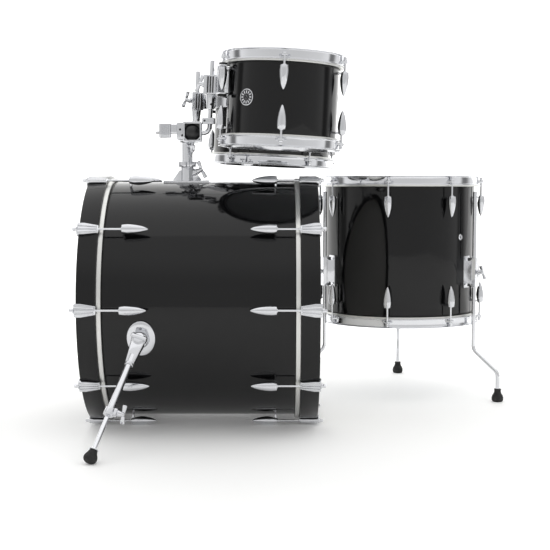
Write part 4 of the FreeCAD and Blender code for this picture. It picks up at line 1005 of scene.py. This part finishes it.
def paper(name, glow):
    material, shader = newMaterial(name, studio["paper"], 0.7, 0.0,
                                   {"Emission Color": (1, 1, 1, 1), "Emission Strength": glow})
    grain(material, shader, {"patch": 0.5, "rough": (0.6, 0.7), "bumpSize": 0.01, "bump": 0.02,
                             "bumpDepth": 0.1 * mm})
    side = addNode(material, "ShaderNodeNewGeometry", {}, {})
    clear = addNode(material, "ShaderNodeBsdfTransparent", {}, {})
    mix = addNode(material, "ShaderNodeMixShader", {}, {"Fac": side.outputs["Backfacing"]})
    material.node_tree.links.new(shader.outputs["BSDF"], mix.inputs[1])
    material.node_tree.links.new(clear.outputs["BSDF"], mix.inputs[2])
    output = next(node for node in material.node_tree.nodes if node.type == "OUTPUT_MATERIAL")
    material.node_tree.links.new(mix.outputs["Shader"], output.inputs["Surface"])
    return material


def makeBackdrop():
    deselectAll()
    bpy.ops.mesh.primitive_plane_add(size=1, location=(0, (studio["front"] + studio["lit"]) / 2, 0))
    backdrop = bpy.context.object
    backdrop.name = "backdrop"
    backdrop.scale = (studio["wide"], studio["lit"] - studio["front"], 1)
    bpy.ops.object.transform_apply(location=True, rotation=False, scale=True)
    pick(backdrop, lambda co, normal: co.y > studio["lit"] - 0.01, "VERT")
    bpy.ops.mesh.select_mode(type="EDGE")
    depth = studio["back"] - studio["lit"]
    bpy.ops.mesh.extrude_region_move(TRANSFORM_OT_translate={"value": (0, depth, 0)})
    bpy.ops.mesh.extrude_region_move(TRANSFORM_OT_translate={"value": (0, 0, studio["high"])})
    deselectAll()
    rounded(backdrop, studio["curve"], 16)
    smoothed(backdrop, 60)
    backdrop.data.materials.append(paper("studioPaper", 0.12))
    backdrop.data.materials.append(paper("litPaper", 0.5))
    for face in backdrop.data.polygons:
        face.material_index = 1 if face.center.y > studio["lit"] else 0


def addLight(name, spot, aim, size, power):
    light = bpy.data.lights.new(name, "AREA")
    light.shape = "RECTANGLE"
    light.size, light.size_y = size
    light.energy = power
    holder = bpy.data.objects.new(name, light)
    bpy.context.scene.collection.objects.link(holder)
    holder.location = spot
    holder.rotation_euler = (Vector(aim) - Vector(spot)).to_track_quat("-Z", "Y").to_euler()


def addWorld():
    # pale all round and above, with a soft dark gap beside the backdrop that draws dark lines on the chrome
    world = bpy.data.worlds.new("studio")
    world.use_nodes = True
    coords = addNode(world, "ShaderNodeTexCoord", {}, {})
    split = addNode(world, "ShaderNodeSeparateXYZ", {}, {"Vector": coords.outputs["Generated"]})
    aside = addNode(world, "ShaderNodeMapRange", {"From Min": -1.0, "From Max": 1.0},
                    {"Value": split.outputs["Y"]})
    ramp = addNode(world, "ShaderNodeValToRGB", {}, {"Fac": aside.outputs["Result"]})
    ramp.color_ramp.interpolation = "EASE"
    stops = [(0.0, 0.72), (0.3, 0.8), (0.5, 0.95), (0.57, 0.22), (0.62, 0.22), (0.74, 0.95)]
    for spot, value in stops[1:-1]:
        ramp.color_ramp.elements.new(spot)
    for element, (spot, value) in zip(ramp.color_ramp.elements, stops):
        element.position = spot
        element.color = (value, value, value, 1)
    high = addNode(world, "ShaderNodeMapRange",
                   {"interpolation_type": "SMOOTHSTEP", "From Min": 0.3, "From Max": 0.75},
                   {"Value": split.outputs["Z"]})
    mix = addNode(world, "ShaderNodeMixRGB", {"Color2": (1, 1, 1, 1)},
                  {"Fac": high.outputs["Result"], "Color1": ramp.outputs["Color"]})
    background = world.node_tree.nodes["Background"]
    world.node_tree.links.new(mix.outputs["Color"], background.inputs["Color"])
    background.inputs["Strength"].default_value = 1.0
    bpy.context.scene.world = world


def addCamera():
    view = {"aside": 166.7 * mm, "away": 2.775, "above": 0.263, "lens": 75.27, "down": 4.28}
    camera = bpy.data.objects.new("camera", bpy.data.cameras.new("camera"))
    bpy.context.scene.collection.objects.link(camera)
    camera.location = boxMiddle("bass_shell") + Vector((view["aside"], -view["away"], view["above"]))
    camera.rotation_euler = (math.radians(90 - view["down"]), 0, 0)
    camera.data.lens = view["lens"]
    camera.data.sensor_width = 36
    bpy.context.scene.camera = camera


makeBackdrop()
addWorld()
addLight("ceilingLight", (0, 0.1, 3.0), (0, 0.1, 0), (5.0, 3.0), 14)
bpy.context.scene.view_settings.view_transform = "Standard"
addCamera()
print("studio made")
